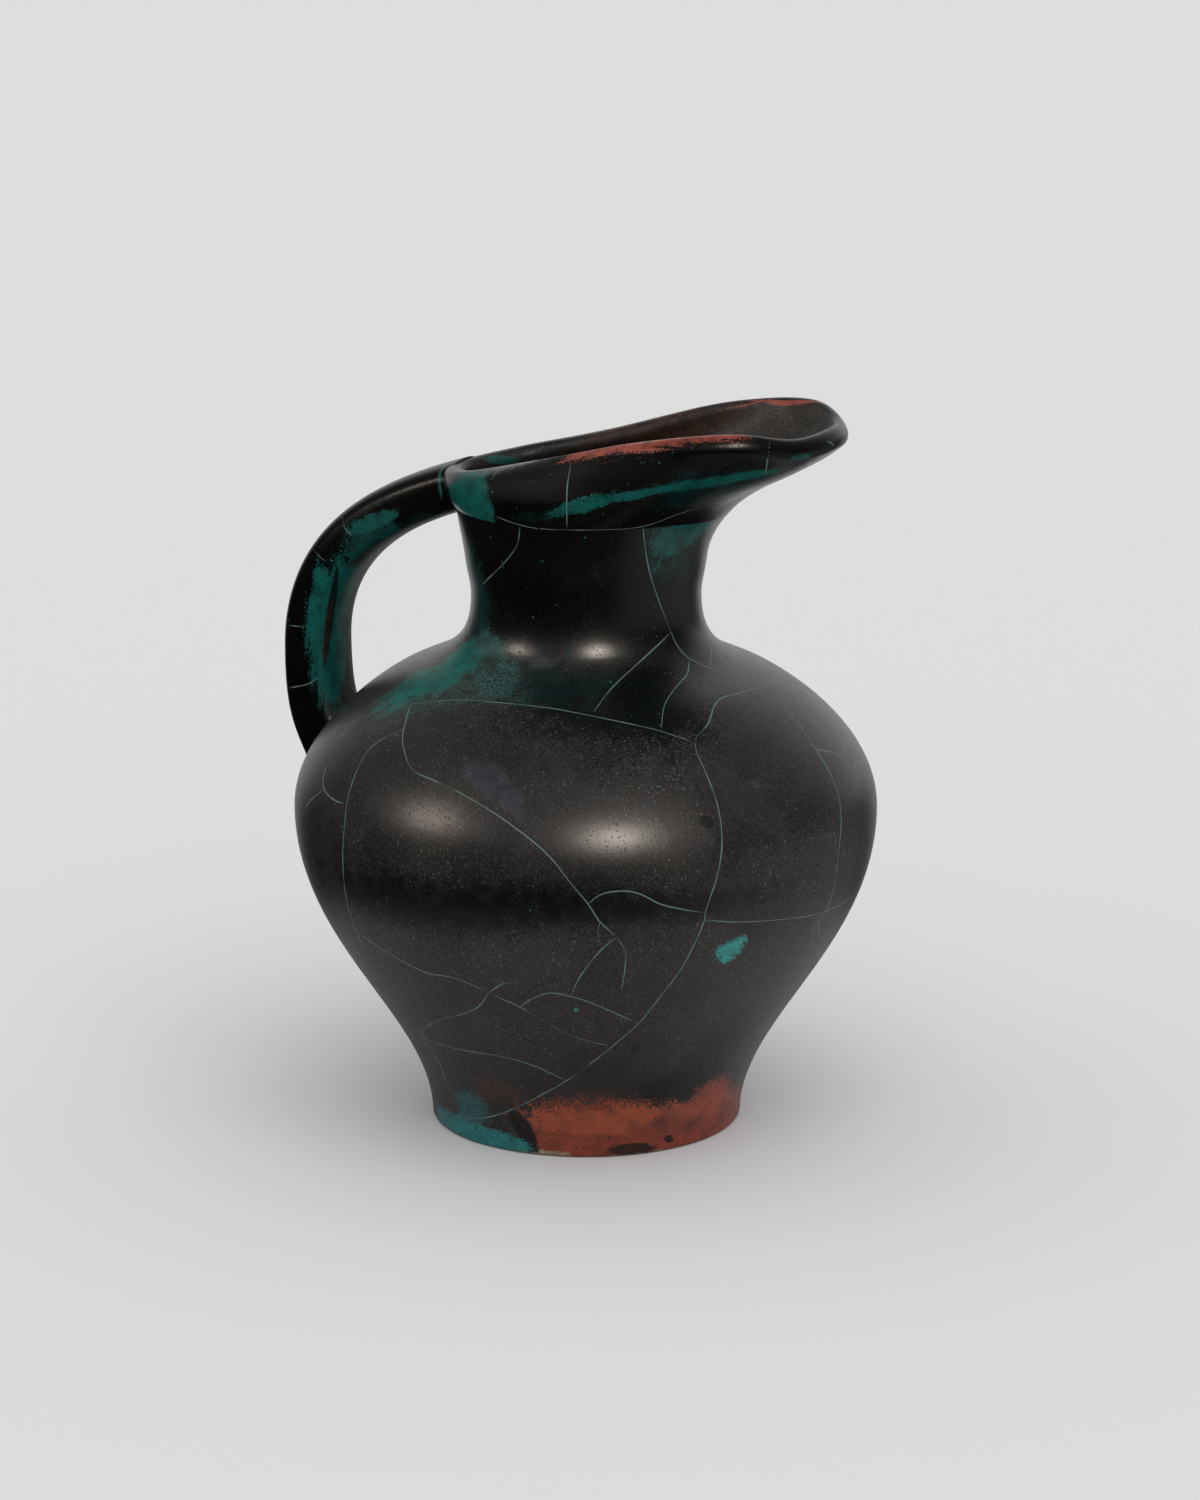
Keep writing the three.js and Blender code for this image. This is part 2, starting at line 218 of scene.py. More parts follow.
def ring_smooth(knots: list[Vector], place: float, centripetal: bool) -> Vector:
    """A point on a closed Catmull-Rom curve.

    Args:
        knots: The curve's knots.
        place: The place on the curve, from 0 to 1 for the whole way round.
        centripetal: Whether knots are spaced by the root of their distance, or evenly.

    Returns:
        The point.
    """
    count = len(knots)
    start = math.floor(place * count)
    share = place * count - start
    before, here, there, after = (knots[(start + k) % count] for k in (-1, 0, 1, 2))
    gaps = [1.0, 1.0, 1.0]
    if centripetal:
        gaps = [(b - a).length ** 0.5 for a, b in ((before, here), (here, there), (there, after))]
    first, middle, last = gaps
    leave = ((here - before) / first - (there - before) / (first + middle) + (there - here) / middle) * middle
    reach = ((there - here) / middle - (after - here) / (middle + last) + (after - there) / last) * middle
    square = 3 * (there - here) - 2 * leave - reach
    cube = 2 * (here - there) + leave + reach
    return here + leave * share + square * share**2 + cube * share**3


def tilted(outward: Vector, degrees: float) -> Vector:
    """A direction that leans from straight up towards an outward direction."""
    angle = math.radians(degrees)
    return outward * math.sin(angle) + UP * math.cos(angle)


# The jug's pieces


@dataclass
class TurnedForm:
    """The outside of the turned pieces, as cubic curves in the XZ plane."""

    foot_radius: float = 49.1 * MM
    foot_sweep: float = 34 * MM
    belly_radius: float = 92 * MM
    belly_height: float = 101.7 * MM
    lower_sweep: float = 43.4 * MM
    upper_sweep: float = 20.6 * MM
    shoulder_inset: float = 32.1 * MM
    shoulder_rise: float = 41.8 * MM
    shoulder_slope: float = math.radians(28.7)
    shoulder_sweep: float = 11.5 * MM
    neck_root_sweep: float = 12.8 * MM
    waist_radius: float = 36.15 * MM
    waist_rise: float = 67.6 * MM
    waist_sweep: float = 19.4 * MM
    neck_top_radius: float = 37.7 * MM
    neck_top_rise: float = 78.3 * MM
    neck_top_slope: float = math.radians(7)
    neck_top_sweep: float = 4 * MM
    wall: float = 5 * MM
    fineness: int = 160

    def outline(self) -> list[Vector]:
        """Points on the outside, in small steps from the foot to just past the neck's top."""
        foot = Vector((self.foot_radius, 0, 0))
        girth = Vector((self.belly_radius, 0, self.belly_height))
        shoulder = girth + Vector((-self.shoulder_inset, 0, self.shoulder_rise))
        waist = Vector((self.waist_radius, 0, self.belly_height + self.waist_rise))
        top = Vector((self.neck_top_radius, 0, self.belly_height + self.neck_top_rise))
        inwards = Vector((-math.cos(self.shoulder_slope), 0, math.sin(self.shoulder_slope)))
        flaring = Vector((math.sin(self.neck_top_slope), 0, math.cos(self.neck_top_slope)))
        stretches = [
            (foot, foot + UP * self.foot_sweep, girth - UP * self.lower_sweep, girth),
            (girth, girth + UP * self.upper_sweep, shoulder - inwards * self.shoulder_sweep, shoulder),
            (shoulder, shoulder + inwards * self.neck_root_sweep, waist - UP * self.waist_sweep, waist),
            (waist, waist + UP * self.neck_top_sweep, top - flaring * self.neck_top_sweep, top),
        ]
        points = [foot]
        for stretch in stretches:
            points += interpolate_bezier(*stretch, self.fineness)[1:]
        return points + [top + flaring * self.wall]

    def lining(self) -> list[Vector]:
        """The inside of the wall, one wall's thickness within the outline."""
        outline = self.outline()
        points = []
        for i, point in enumerate(outline):
            along = outline[min(i + 1, len(outline) - 1)] - outline[max(i - 1, 0)]
            points.append(point + Vector((-along.z, 0, along.x)).normalized() * self.wall)
        return points

    @staticmethod
    def between(points: list[Vector], low: float, high: float) -> list[Vector]:
        """The stretch of a rising line between two heights, ending exactly on both."""

        def at(height: float) -> Vector:
            i = next(k for k, point in enumerate(points) if point.z >= height)
            before, after = points[i - 1], points[i]
            return before.lerp(after, (height - before.z) / (after.z - before.z))

        inside = [point for point in points if low < point.z < high]
        return [at(low), *inside, at(high)]


@dataclass
class FootSlab:
    """The flat floor of the jug, with the edge that it stands on."""

    form: TurnedForm
    edge_radius: float = 1.5 * MM
    edge_steps: int = 6
    dish_depth: float = 0.7 * MM
    dish_radius: float = 38 * MM
    ring_width: float = 3 * MM

    def build(self) -> bpy.types.Object:
        """Spins the slab, with a rounded edge and a slightly dished underside."""
        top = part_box("foot_slab")[1].z
        foot = self.form.foot_radius
        side = self.form.between(self.form.outline(), self.edge_radius, top)
        corner = Vector((foot - self.edge_radius, 0, 0))
        edge = interpolate_bezier(
            corner,
            corner + Vector((self.edge_radius / 2, 0, 0)),
            side[0] - UP * self.edge_radius / 2,
            side[0],
            self.edge_steps,
        )
        dish = [
            Vector((0, 0, self.dish_depth)),
            Vector((self.dish_radius / 2, 0, self.dish_depth)),
            Vector((self.dish_radius, 0, self.dish_depth)),
            Vector((self.dish_radius + self.ring_width, 0, self.dish_depth / 4)),
            Vector((self.dish_radius + 2 * self.ring_width, 0, 0)),
        ]
        profile = dish + spaced(edge, self.edge_radius / self.edge_steps) + spaced(side, WALL_STEP)[1:]
        profile += [Vector((foot / 2, 0, top)), Vector((0, 0, top))]
        return spun("foot", profile)


@dataclass
class BodyWall:
    """The thrown wall from the floor over the belly to the root of the neck."""

    form: TurnedForm
    floor_fillet: float = 9 * MM
    fillet_steps: int = 8

    def build(self) -> bpy.types.Object:
        """Spins the wall, with a rounded corner inside where it meets the floor."""
        low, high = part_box("body")[0].z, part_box("body")[1].z
        outside = spaced(self.form.between(self.form.outline(), low, high), WALL_STEP)
        lining = self.form.between(self.form.lining(), low + self.floor_fillet, high)
        inside = spaced(list(reversed(lining)), 2 * WALL_STEP)
        corner = inside[-1]
        floor = Vector((corner.x - self.floor_fillet, 0, low + SEAM_RING))
        fillet = interpolate_bezier(
            corner,
            corner - UP * self.floor_fillet * 0.7,
            floor + Vector((self.floor_fillet * 0.5, 0, 0)),
            floor,
            self.fillet_steps,
        )
        under = [Vector((floor.x - SEAM_RING, 0, low)), outside[0]]
        return spun("belly", outside + inside + fillet[1:] + under)


@dataclass(frozen=True)
class Station:
    """One place round the mouth: where the lip and the fold are, and how the wall leans there."""

    turn: float
    overhang: float
    rise: float
    spread: float
    flare: float
    leave: float
    arrive: float


@dataclass
class MouthForm:
    """The flared neck, the collar above the fold and the rolled lip, from a ring of stations."""

    form: TurnedForm
    fold_height: float = 197 * MM
    neck_foot: float = 157 * MM
    lip_thickness: float = 6.9 * MM
    fullness: float = 0.36
    leave_gain: float = 0.05
    arrive_gain: float = 0.27
    leave_upright: float = 21
    full_lean: float = 36
    shoulder_turn: float = math.radians(50)
    coil_share: float = 0.25
    flare_sweep: float = 6.4 * MM
    fineness: int = 48
    roll_steps: int = 16
    crest_lean: float = 0.2
    crest_height: float = 0.88
    stations: tuple[Station, ...] = (
        Station(0, 42.8 * MM, 26.3 * MM, 8.5 * MM, 45, 42, 50),
        Station(14, 40.6 * MM, 26 * MM, 7.7 * MM, 41, 38, 42),
        Station(27.3, 33.2 * MM, 28.8 * MM, 4.3 * MM, 34, 45, 35),
        Station(49.9, 12 * MM, 25.3 * MM, 2.8 * MM, 16, 42, 1),
        Station(100.3, -9.6 * MM, 15.6 * MM, 1.3 * MM, 8, 41, -36),
        Station(142, 0.4 * MM, 9.8 * MM, 2.7 * MM, 8, 56, -28),
        Station(180, 4.8 * MM, 7.8 * MM, 2.7 * MM, 8, 54, -5),
    )
    rows: list[dict[str, list[Vector]]] = field(default_factory=list)

    def lip_centre(self, station: Station) -> Vector:
        """The middle of the lip's round edge at one station."""
        turn = math.radians(station.turn)
        reach = self.form.neck_top_radius + station.overhang
        return Vector((reach * math.cos(turn), reach * math.sin(turn), self.fold_height + station.rise))

    def lay_out(self) -> None:
        """Works out the walls of neck, collar and lip for every place round the mouth."""
        near = [
            Station(-s.turn, s.overhang, s.rise, s.spread, s.flare, s.leave, s.arrive)
            for s in reversed(self.stations[1:-1])
        ]
        stations = [*self.stations, *near]
        lips = [self.lip_centre(s) for s in stations]
        folds = [Vector((self.form.neck_top_radius + s.spread, s.flare, 0)) for s in stations]
        walls = [Vector((s.leave, s.arrive, 0)) for s in stations]
        outline = self.form.between(self.form.outline(), self.neck_foot, self.neck_top_height)
        lining = self.form.between(self.form.lining(), self.neck_foot, self.neck_top_height)
        for place in self.even_places(lips):
            lip = ring_smooth(lips, place, True)
            tangent = ring_smooth(lips, place + 1e-4, True) - ring_smooth(lips, place - 1e-4, True)
            fold, flare, _ = ring_smooth(folds, place, False)
            leave, arrive, _ = ring_smooth(walls, place, False)
            radial = Vector((lip.x, lip.y, 0)).normalized()
            outward = Vector((tangent.y, -tangent.x, 0)).normalized()
            end, side = tilted(outward, arrive), tilted(outward, arrive + 90)
            outer_fold = radial * fold + UP * self.fold_height
            inner_fold = outer_fold - radial * self.form.wall
            shoulder = min(1, max(0, -arrive / self.full_lean)) ** 2
            start = self.shoulder_turn * shoulder
            outer_lip = self.rolled(lip, end, side, start)
            inner_lip = self.rolled(lip, end, side, math.pi)
            arriving = end * math.cos(start) - side * math.sin(start)
            reach = (outer_fold - outer_lip).length
            leave -= self.leave_upright * shoulder
            leave_share = self.fullness + self.leave_gain * shoulder
            arrive_share = self.fullness + self.arrive_gain * shoulder
            sweeps = (leave_share * reach, arrive_share * reach)
            level = (self.fullness * reach, self.fullness * reach)
            flare_sweeps = (self.flare_sweep, self.flare_sweep)
            flaring = tilted(radial, flare)
            self.rows.append({
                "neck_outer": self.neck_wall(outline, radial, flaring, outer_fold, flare_sweeps),
                "neck_inner": self.neck_wall(lining, radial, flaring, inner_fold, flare_sweeps),
                "outer": self.curve(outer_fold, tilted(radial, leave), outer_lip, arriving, sweeps),
                "inner": self.curve(inner_fold, flaring, inner_lip, end, level),
                "roll": self.roll(lip, end, side, start),
            })

    @property
    def neck_top_height(self) -> float:
        """The height at which the neck stops being round."""
        return self.form.belly_height + self.form.neck_top_rise

    @staticmethod
    def even_places(lips: list[Vector]) -> list[float]:
        """Places on the lip's line that divide its length evenly."""
        fine = 4 * PLACES_ROUND
        points = [ring_smooth(lips, i / fine, True) for i in range(fine + 1)]
        reach = [0.0]
        for here, there in zip(points, points[1:]):
            reach.append(reach[-1] + (there - here).length)
        places, i = [], 0
        for k in range(PLACES_ROUND):
            target = reach[-1] * k / PLACES_ROUND
            while reach[i + 1] < target:
                i += 1
            places.append((i + (target - reach[i]) / (reach[i + 1] - reach[i])) / fine)
        return places

    def curve(
        self, start: Vector, leaving: Vector, end: Vector, arriving: Vector, sweeps: tuple[float, float]
    ) -> list[Vector]:
        """Points on a wall that leaves one point and reaches another in given directions."""
        first, last = start + leaving * sweeps[0], end - arriving * sweeps[1]
        return interpolate_bezier(start, first, last, end, self.fineness)

    def neck_wall(
        self, upright: list[Vector], radial: Vector, flaring: Vector, fold: Vector, sweeps: tuple[float, float]
    ) -> list[Vector]:
        """The neck's wall at one place: its turned part, then the flare up to the fold."""
        turned = [radial * point.x + UP * point.z for point in upright]
        start = tilted(radial, math.degrees(self.form.neck_top_slope))
        return turned + self.curve(turned[-1], start, fold, flaring, sweeps)[1:]

    def rolled(self, lip: Vector, end: Vector, side: Vector, angle: float) -> Vector:
        """A point on the round end of the lip, by its angle from the outer side."""
        over = math.sin(angle) * (1 - self.crest_lean * math.cos(angle)) * self.crest_height
        return lip + (side * math.cos(angle) + end * over) * self.lip_thickness / 2

    def roll(self, lip: Vector, end: Vector, side: Vector, start: float) -> list[Vector]:
        """The round end of the lip, over the top from where the outer wall ends to the inner side."""
        turn = (math.pi - start) / self.roll_steps
        return [self.rolled(lip, end, side, start + turn * k) for k in range(self.roll_steps + 1)]

    def sections(self, piece: str) -> list[list[Vector]]:
        """Closed sections of one piece, one for each place round the mouth.

        Args:
            piece: The CAD node's name: neck, spout_collar or lip_coil.

        Returns:
            The sections, each from the bottom up outside and down again inside.
        """
        return [self.section(row, piece) for row in self.rows]

    def section(self, row: dict[str, list[Vector]], piece: str) -> list[Vector]:
        """One closed section of a piece, in steps that match at every place."""
        outer, inner = row["outer"], row["inner"]
        split = round((len(outer) - 1) * (1 - self.coil_share))
        if piece == "neck":
            return self.walls(row["neck_outer"], row["neck_inner"], 34)
        if piece == "spout_collar":
            return self.walls(outer[: split + 1], inner[: split + 1], 20)
        climb = self.counted(outer[split:], 8)
        fall = self.counted(list(reversed(inner[split:])), 8)
        return climb + row["roll"][1:-1] + fall

    def walls(self, outer: list[Vector], inner: list[Vector], count: int) -> list[Vector]:
        """An outer wall going up and an inner wall coming down, in the same count of steps."""
        return self.counted(outer, count) + self.counted(list(reversed(inner)), count)

    @staticmethod
    def counted(points: list[Vector], count: int) -> list[Vector]:
        """Points at a given count of even steps along a line, with its two seam points."""
        reach = sum((b - a).length for a, b in zip(points, points[1:]))
        return spaced(points, reach / count * (1 + 1e-9))

    def build(self, node: str, name: str) -> bpy.types.Object:
        """Raises one piece of the mouth from its sections."""
        sections = self.sections(node)
        rings = [[section[level] for section in sections] for level in range(len(sections[0]))]
        return raised(name, rings, looped=True)


@dataclass
class StrapHandle:
    """The strap from the back of the lip to the shoulder, smeared out where it joins the wall."""

    form: TurnedForm
    mouth: MouthForm
    width: float = 24.5 * MM
    top_thickness: float = 15.6 * MM
    foot_thickness: float = 19 * MM
    squareness: float = 3
    top_drop: float = 3.7 * MM
    top_inset: float = 3 * MM
    top_slope: float = math.radians(17)
    top_sweep: float = 33.5 * MM
    bow_out: float = 1.6 * MM
    bow_rise: float = 43.2 * MM
    bow_sweep_up: float = 31 * MM
    bow_sweep_down: float = 25.7 * MM
    foot_rise: float = 1.6 * MM
    foot_inset: float = 9 * MM
    foot_slope: float = math.radians(18)
    foot_sweep: float = 18.3 * MM
    root_depth: float = 9 * MM
    smear: float = 1.3 * MM
    smear_share: float = 0.3
    buried: float = 2.2 * MM
    sides: int = 72
    steps: int = 120

    def centre_line(self) -> list[Vector]:
        """Points along the middle of the strap, from the lip to the shoulder."""
        back = self.mouth.lip_centre(self.mouth.stations[-1])
        root = back + Vector((self.top_inset, 0, -self.top_drop))
        bow = Vector((-self.form.belly_radius - self.bow_out, 0, self.form.belly_height + self.bow_rise))
        foot = Vector((self.foot_inset - self.form.belly_radius, 0, self.form.belly_height + self.foot_rise))
        down = Vector((-math.cos(self.top_slope), 0, -math.sin(self.top_slope)))
        rising = Vector((-math.sin(self.foot_slope), 0, math.cos(self.foot_slope)))
        upper = interpolate_bezier(
            root, root + down * self.top_sweep, bow + UP * self.bow_sweep_up, bow, 90)
        lower = interpolate_bezier(
            bow, bow - UP * self.bow_sweep_down, foot + rising * self.foot_sweep, foot, 90)
        line = upper + lower[1:] + [foot - rising * self.root_depth]
        reach = sum((b - a).length for a, b in zip(line, line[1:]))
        return spaced(line, reach / self.steps * (1 + 1e-9), seams=False)

    def section(self, centre: Vector, along: Vector, thickness: float) -> list[Vector]:
        """One section of the strap, a rounded rectangle across its centre line."""
        normal = Vector((-along.z, 0, along.x))
        across = Vector((0, 1, 0))
        points = []
        for k in range(self.sides):
            angle = math.tau * k / self.sides
            wide, thick = (
                math.copysign(abs(value) ** (2 / self.squareness), value)
                for value in (math.cos(angle), math.sin(angle))
            )
            points.append(centre + across * self.width / 2 * wide + normal * thickness / 2 * thick)
        return points

    def build(self, walls: "Skin") -> bpy.types.Object:
        """Raises the strap and smears its ends over the walls that it joins.

        Args:
            walls: The skin of the pieces that the handle joins.

        Returns:
            The handle.
        """
        line = self.centre_line()
        rings = []
        for i, centre in enumerate(line):
            along = (line[min(i + 1, len(line) - 1)] - line[max(i - 1, 0)]).normalized()
            share = i / (len(line) - 1)
            thickness = self.top_thickness + (self.foot_thickness - self.top_thickness) * share
            ring = self.section(centre, along, thickness)
            if walls.depth(centre) < self.foot_thickness:
                ring = [self.smeared(point, centre, walls) for point in ring]
            rings.append(ring)
        return raised("strap", rings, looped=False)

    def smeared(self, point: Vector, centre: Vector, walls: "Skin") -> Vector:
        """Moves a point of the strap outwards near the wall, and holds it just under its skin."""
        nearest, normal = walls.nearest(point)
        height = (point - nearest).dot(normal)
        reach = max(0.0, 1 - max(height, 0.0) / self.smear)
        crest = self.mouth.lip_centre(self.mouth.stations[-1]).z
        reach *= min(1, max(0, (crest - point.z) / self.smear))
        moved = point + (point - centre).normalized() * self.smear * self.smear_share * reach**2
        nearest, normal = walls.nearest(moved)
        height = (moved - nearest).dot(normal)
        if height < -self.buried:
            moved = nearest - normal * self.buried
        return moved


class Skin:
    """The outer skin of some pieces, to find places on."""

    def __init__(self, *pieces: bpy.types.Object) -> None:
        """Gathers the pieces' faces."""
        scene = bpy.context.evaluated_depsgraph_get()
        self.trees = [BVHTree.FromObject(piece, scene) for piece in pieces]

    def nearest(self, point: Vector) -> tuple[Vector, Vector]:
        """The nearest place on the skin, and its outward normal."""
        found = [tree.find_nearest(point) for tree in self.trees]
        place, normal, _, _ = min(found, key=lambda hit: hit[3])
        return place, normal

    def depth(self, point: Vector) -> float:
        """How far a point stands from the skin."""
        return (point - self.nearest(point)[0]).length

    def along(self, origin: Vector, direction: Vector) -> tuple[Vector, Vector] | None:
        """The first place on the skin along a ray, and its outward normal."""
        found = [tree.ray_cast(origin, direction) for tree in self.trees]
        hits = [hit for hit in found if hit[0] is not None]
        if not hits:
            return None
        place, normal, _, _ = min(hits, key=lambda hit: hit[3])
        return place, normal


# Where the jug is seen from


@dataclass(frozen=True)
class Pixel:
    """A place in the picture, in its own pixels."""

    x: float
    y: float


@dataclass(frozen=True)
class Around:
    """A place on the jug by its turn from the spout, in degrees, and its height."""

    turn: float
    height: float


@dataclass(frozen=True)
class View:
    """The place and lens that the picture was taken with."""

    place: tuple[float, float, float] = (604.64 * MM, -1413.3 * MM, 507.1 * MM)
    turn: float = math.radians(23)
    pitch: float = math.radians(14.187)
    focal_pixels: float = 5046
    width: int = 1200
    height: int = 1500
    sensor: float = 36

    @property
    def pose(self) -> Euler:
        """The camera's rotation."""
        return Euler((math.pi / 2 - self.pitch, 0, self.turn))

    @property
    def towards(self) -> Vector:
        """The level direction from the jug to the camera."""
        return Vector((math.sin(self.turn), -math.cos(self.turn), 0))

    def ray(self, pixel: Pixel) -> Vector:
        """The direction from the camera through a pixel."""
        across = (pixel.x - self.width / 2) / self.focal_pixels
        up = (self.height / 2 - pixel.y) / self.focal_pixels
        return (self.pose.to_matrix() @ Vector((across, up, -1))).normalized()

    def add_camera(self) -> None:
        """Adds the camera and makes it the scene's own."""
        bpy.ops.object.camera_add(location=self.place, rotation=self.pose)
        camera = bpy.context.object
        camera.name = "picture_camera"
        camera.data.sensor_width = self.sensor
        camera.data.lens = self.focal_pixels / self.height * self.sensor
        bpy.context.scene.camera = camera


# Nodes of a material


class Signal:
    """A number that varies over a surface: a socket whose sums add Math nodes."""

    def __init__(self, sheet: "NodeSheet", socket: bpy.types.NodeSocket) -> None:
        """Wraps a socket of a sheet of nodes."""
        self.sheet = sheet
        self.socket = socket

    def __add__(self, other: "Signal | float") -> "Signal":
        """The sum of two numbers."""
        return self.sheet.maths("ADD", self, other)

    def __sub__(self, other: "Signal | float") -> "Signal":
        """The difference of two numbers."""
        return self.sheet.maths("SUBTRACT", self, other)

    def __rsub__(self, other: float) -> "Signal":
        """The difference of a plain number and this one."""
        return self.sheet.maths("SUBTRACT", other, self)

    def __mul__(self, other: "Signal | float") -> "Signal":
        """The product of two numbers."""
        return self.sheet.maths("MULTIPLY", self, other)

    def __or__(self, other: "Signal | float") -> "Signal":
        """The larger of two numbers."""
        return self.sheet.maths("MAXIMUM", self, other)

    def __and__(self, other: "Signal | float") -> "Signal":
        """The smaller of two numbers."""
        return self.sheet.maths("MINIMUM", self, other)

    __radd__ = __add__
    __rmul__ = __mul__

    def ramp(self, low: float, high: float) -> "Signal":
        """A smooth step from 0 at low to 1 at high, which may be the smaller of the two."""
        inputs = {"Value": self, "From Min": low, "From Max": high}
        node = self.sheet.node("ShaderNodeMapRange", {"interpolation_type": "SMOOTHSTEP"}, inputs)
        return Signal(self.sheet, node.outputs["Result"])


Colour = tuple[float, float, float]


class NodeSheet:
    """The nodes of one material."""

    mix_sockets = (0, 6, 7)
    mix_result = 2

    def __init__(self, name: str) -> None:
        """Starts an empty material of a name."""
        self.material = bpy.data.materials.new(name)
        self.material.use_nodes = True
        self.tree = self.material.node_tree
        self.tree.nodes.clear()

    def node(self, kind: str, settings: dict[str, object], inputs: dict[str | int, object]) -> bpy.types.Node:
        """Adds a node.

        Args:
            kind: The node's type.
            settings: The node's properties, which are set first.
            inputs: The values of its sockets, or what they are linked to.

        Returns:
            The node.
        """
        node = self.tree.nodes.new(kind)
        for name, value in settings.items():
            setattr(node, name, value)
        for name, value in inputs.items():
            source = value.socket if isinstance(value, Signal) else value
            if isinstance(source, bpy.types.NodeSocket):
                self.tree.links.new(source, node.inputs[name])
            elif isinstance(source, tuple) and len(node.inputs[name].default_value) == 4:
                node.inputs[name].default_value = (*source, 1)
            else:
                node.inputs[name].default_value = source
        return node

    def maths(self, operation: str, first: Signal | float, second: Signal | float) -> Signal:
        """The result of a sum of two numbers."""
        node = self.node("ShaderNodeMath", {"operation": operation}, {0: first, 1: second})
        return Signal(self, node.outputs[0])

    def vector(self, operation: str, inputs: dict[int | str, object]) -> bpy.types.Node:
        """A Vector Math node."""
        return self.node("ShaderNodeVectorMath", {"operation": operation}, inputs)

    def noise(self, place: bpy.types.NodeSocket, size: float, detail: float = 2) -> Signal:
        """Cloudy noise around 0.5, with blots of about a given size."""
        node = self.node("ShaderNodeTexNoise", {}, {"Vector": place, "Scale": 1 / size, "Detail": detail})
        return Signal(self, node.outputs[0])

    def blend(self, first: object, second: object, share: Signal | float) -> bpy.types.NodeSocket:
        """A colour between two, by the share of the second."""
        inputs = dict(zip(self.mix_sockets, (share, first, second)))
        node = self.node("ShaderNodeMix", {"data_type": "RGBA"}, inputs)
        return node.outputs[self.mix_result]


# The glaze


@dataclass(frozen=True)
class Finish:
    """One colour of the glaze, and the colour that it breaks to in small clouds."""

    colour: Colour
    broken: Colour


class Tone(Enum):
    """The colours of the glaze."""

    CHARCOAL = Finish((0.0118, 0.0107, 0.0101), (0.0205, 0.0178, 0.015))
    SHOULDER_TEAL = Finish((0.004, 0.117, 0.093), (0.003, 0.07, 0.058))
    COLLAR_TEAL = Finish((0.002, 0.085, 0.072), (0.001, 0.052, 0.046))
    DEEP_TEAL = Finish((0.0008, 0.013, 0.0125), (0.0006, 0.005, 0.005))
    GREY_TEAL = Finish((0.028, 0.088, 0.08), (0.012, 0.045, 0.04))
    FOOT_TEAL = Finish((0.013, 0.156, 0.161), (0.008, 0.105, 0.112))
    SPOT_TEAL = Finish((0.019, 0.262, 0.242), (0.01, 0.14, 0.13))
    POOL = Finish((0.0006, 0.0025, 0.0025), (0.0006, 0.0016, 0.0016))
    MOSS = Finish((0.0014, 0.002, 0.0011), (0.0042, 0.0068, 0.0036))
    RED = Finish((0.22, 0.036, 0.016), (0.15, 0.025, 0.013))
    DARK_RED = Finish((0.075, 0.016, 0.012), (0.04, 0.011, 0.009))
    ORANGE = Finish((0.31, 0.062, 0.021), (0.24, 0.046, 0.017))
    CREST_RED = Finish((0.3, 0.06, 0.04), (0.13, 0.028, 0.02))
    RUST = Finish((0.05, 0.02, 0.013), (0.022, 0.012, 0.009))
    BLACK = Finish((0.0005, 0.0007, 0.0005), (0.0013, 0.0013, 0.001))
    UMBER = Finish((0.014, 0.0095, 0.0065), (0.01, 0.007, 0.005))
    VIOLET = Finish((0.036, 0.033, 0.044), (0.02, 0.018, 0.025))
    BEIGE = Finish((0.11, 0.09, 0.07), (0.05, 0.04, 0.032))
    CLAY = Finish((0.3, 0.25, 0.17), (0.12, 0.09, 0.06))


@dataclass(frozen=True)
class Patch:
    """A patch of another tone, as a stroke between two places, as wide as a third beside it.

    Its strength is how fully it covers, ragged how far its edge wanders, dusty how far it breaks
    into specks, brushed how much it shows the hairs of the brush, depth how far it reaches through
    the wall, sprayed how far it is a mist of specks all over, faces the side of the wall that it
    lies on: 1 outside, -1 inside, 0 both, matt how much rougher it is than the glaze, and soft how
    gently its edge fades.
    """

    tone: Tone
    start: Pixel | Around
    end: Pixel | Around
    side: Pixel | Around
    strength: float = 1
    ragged: float = 0.35
    dusty: float = 0.5
    brushed: float = 0
    depth: float = 13 * MM
    sprayed: float = 0
    faces: int = 1
    matt: float = 0
    soft: float = 0


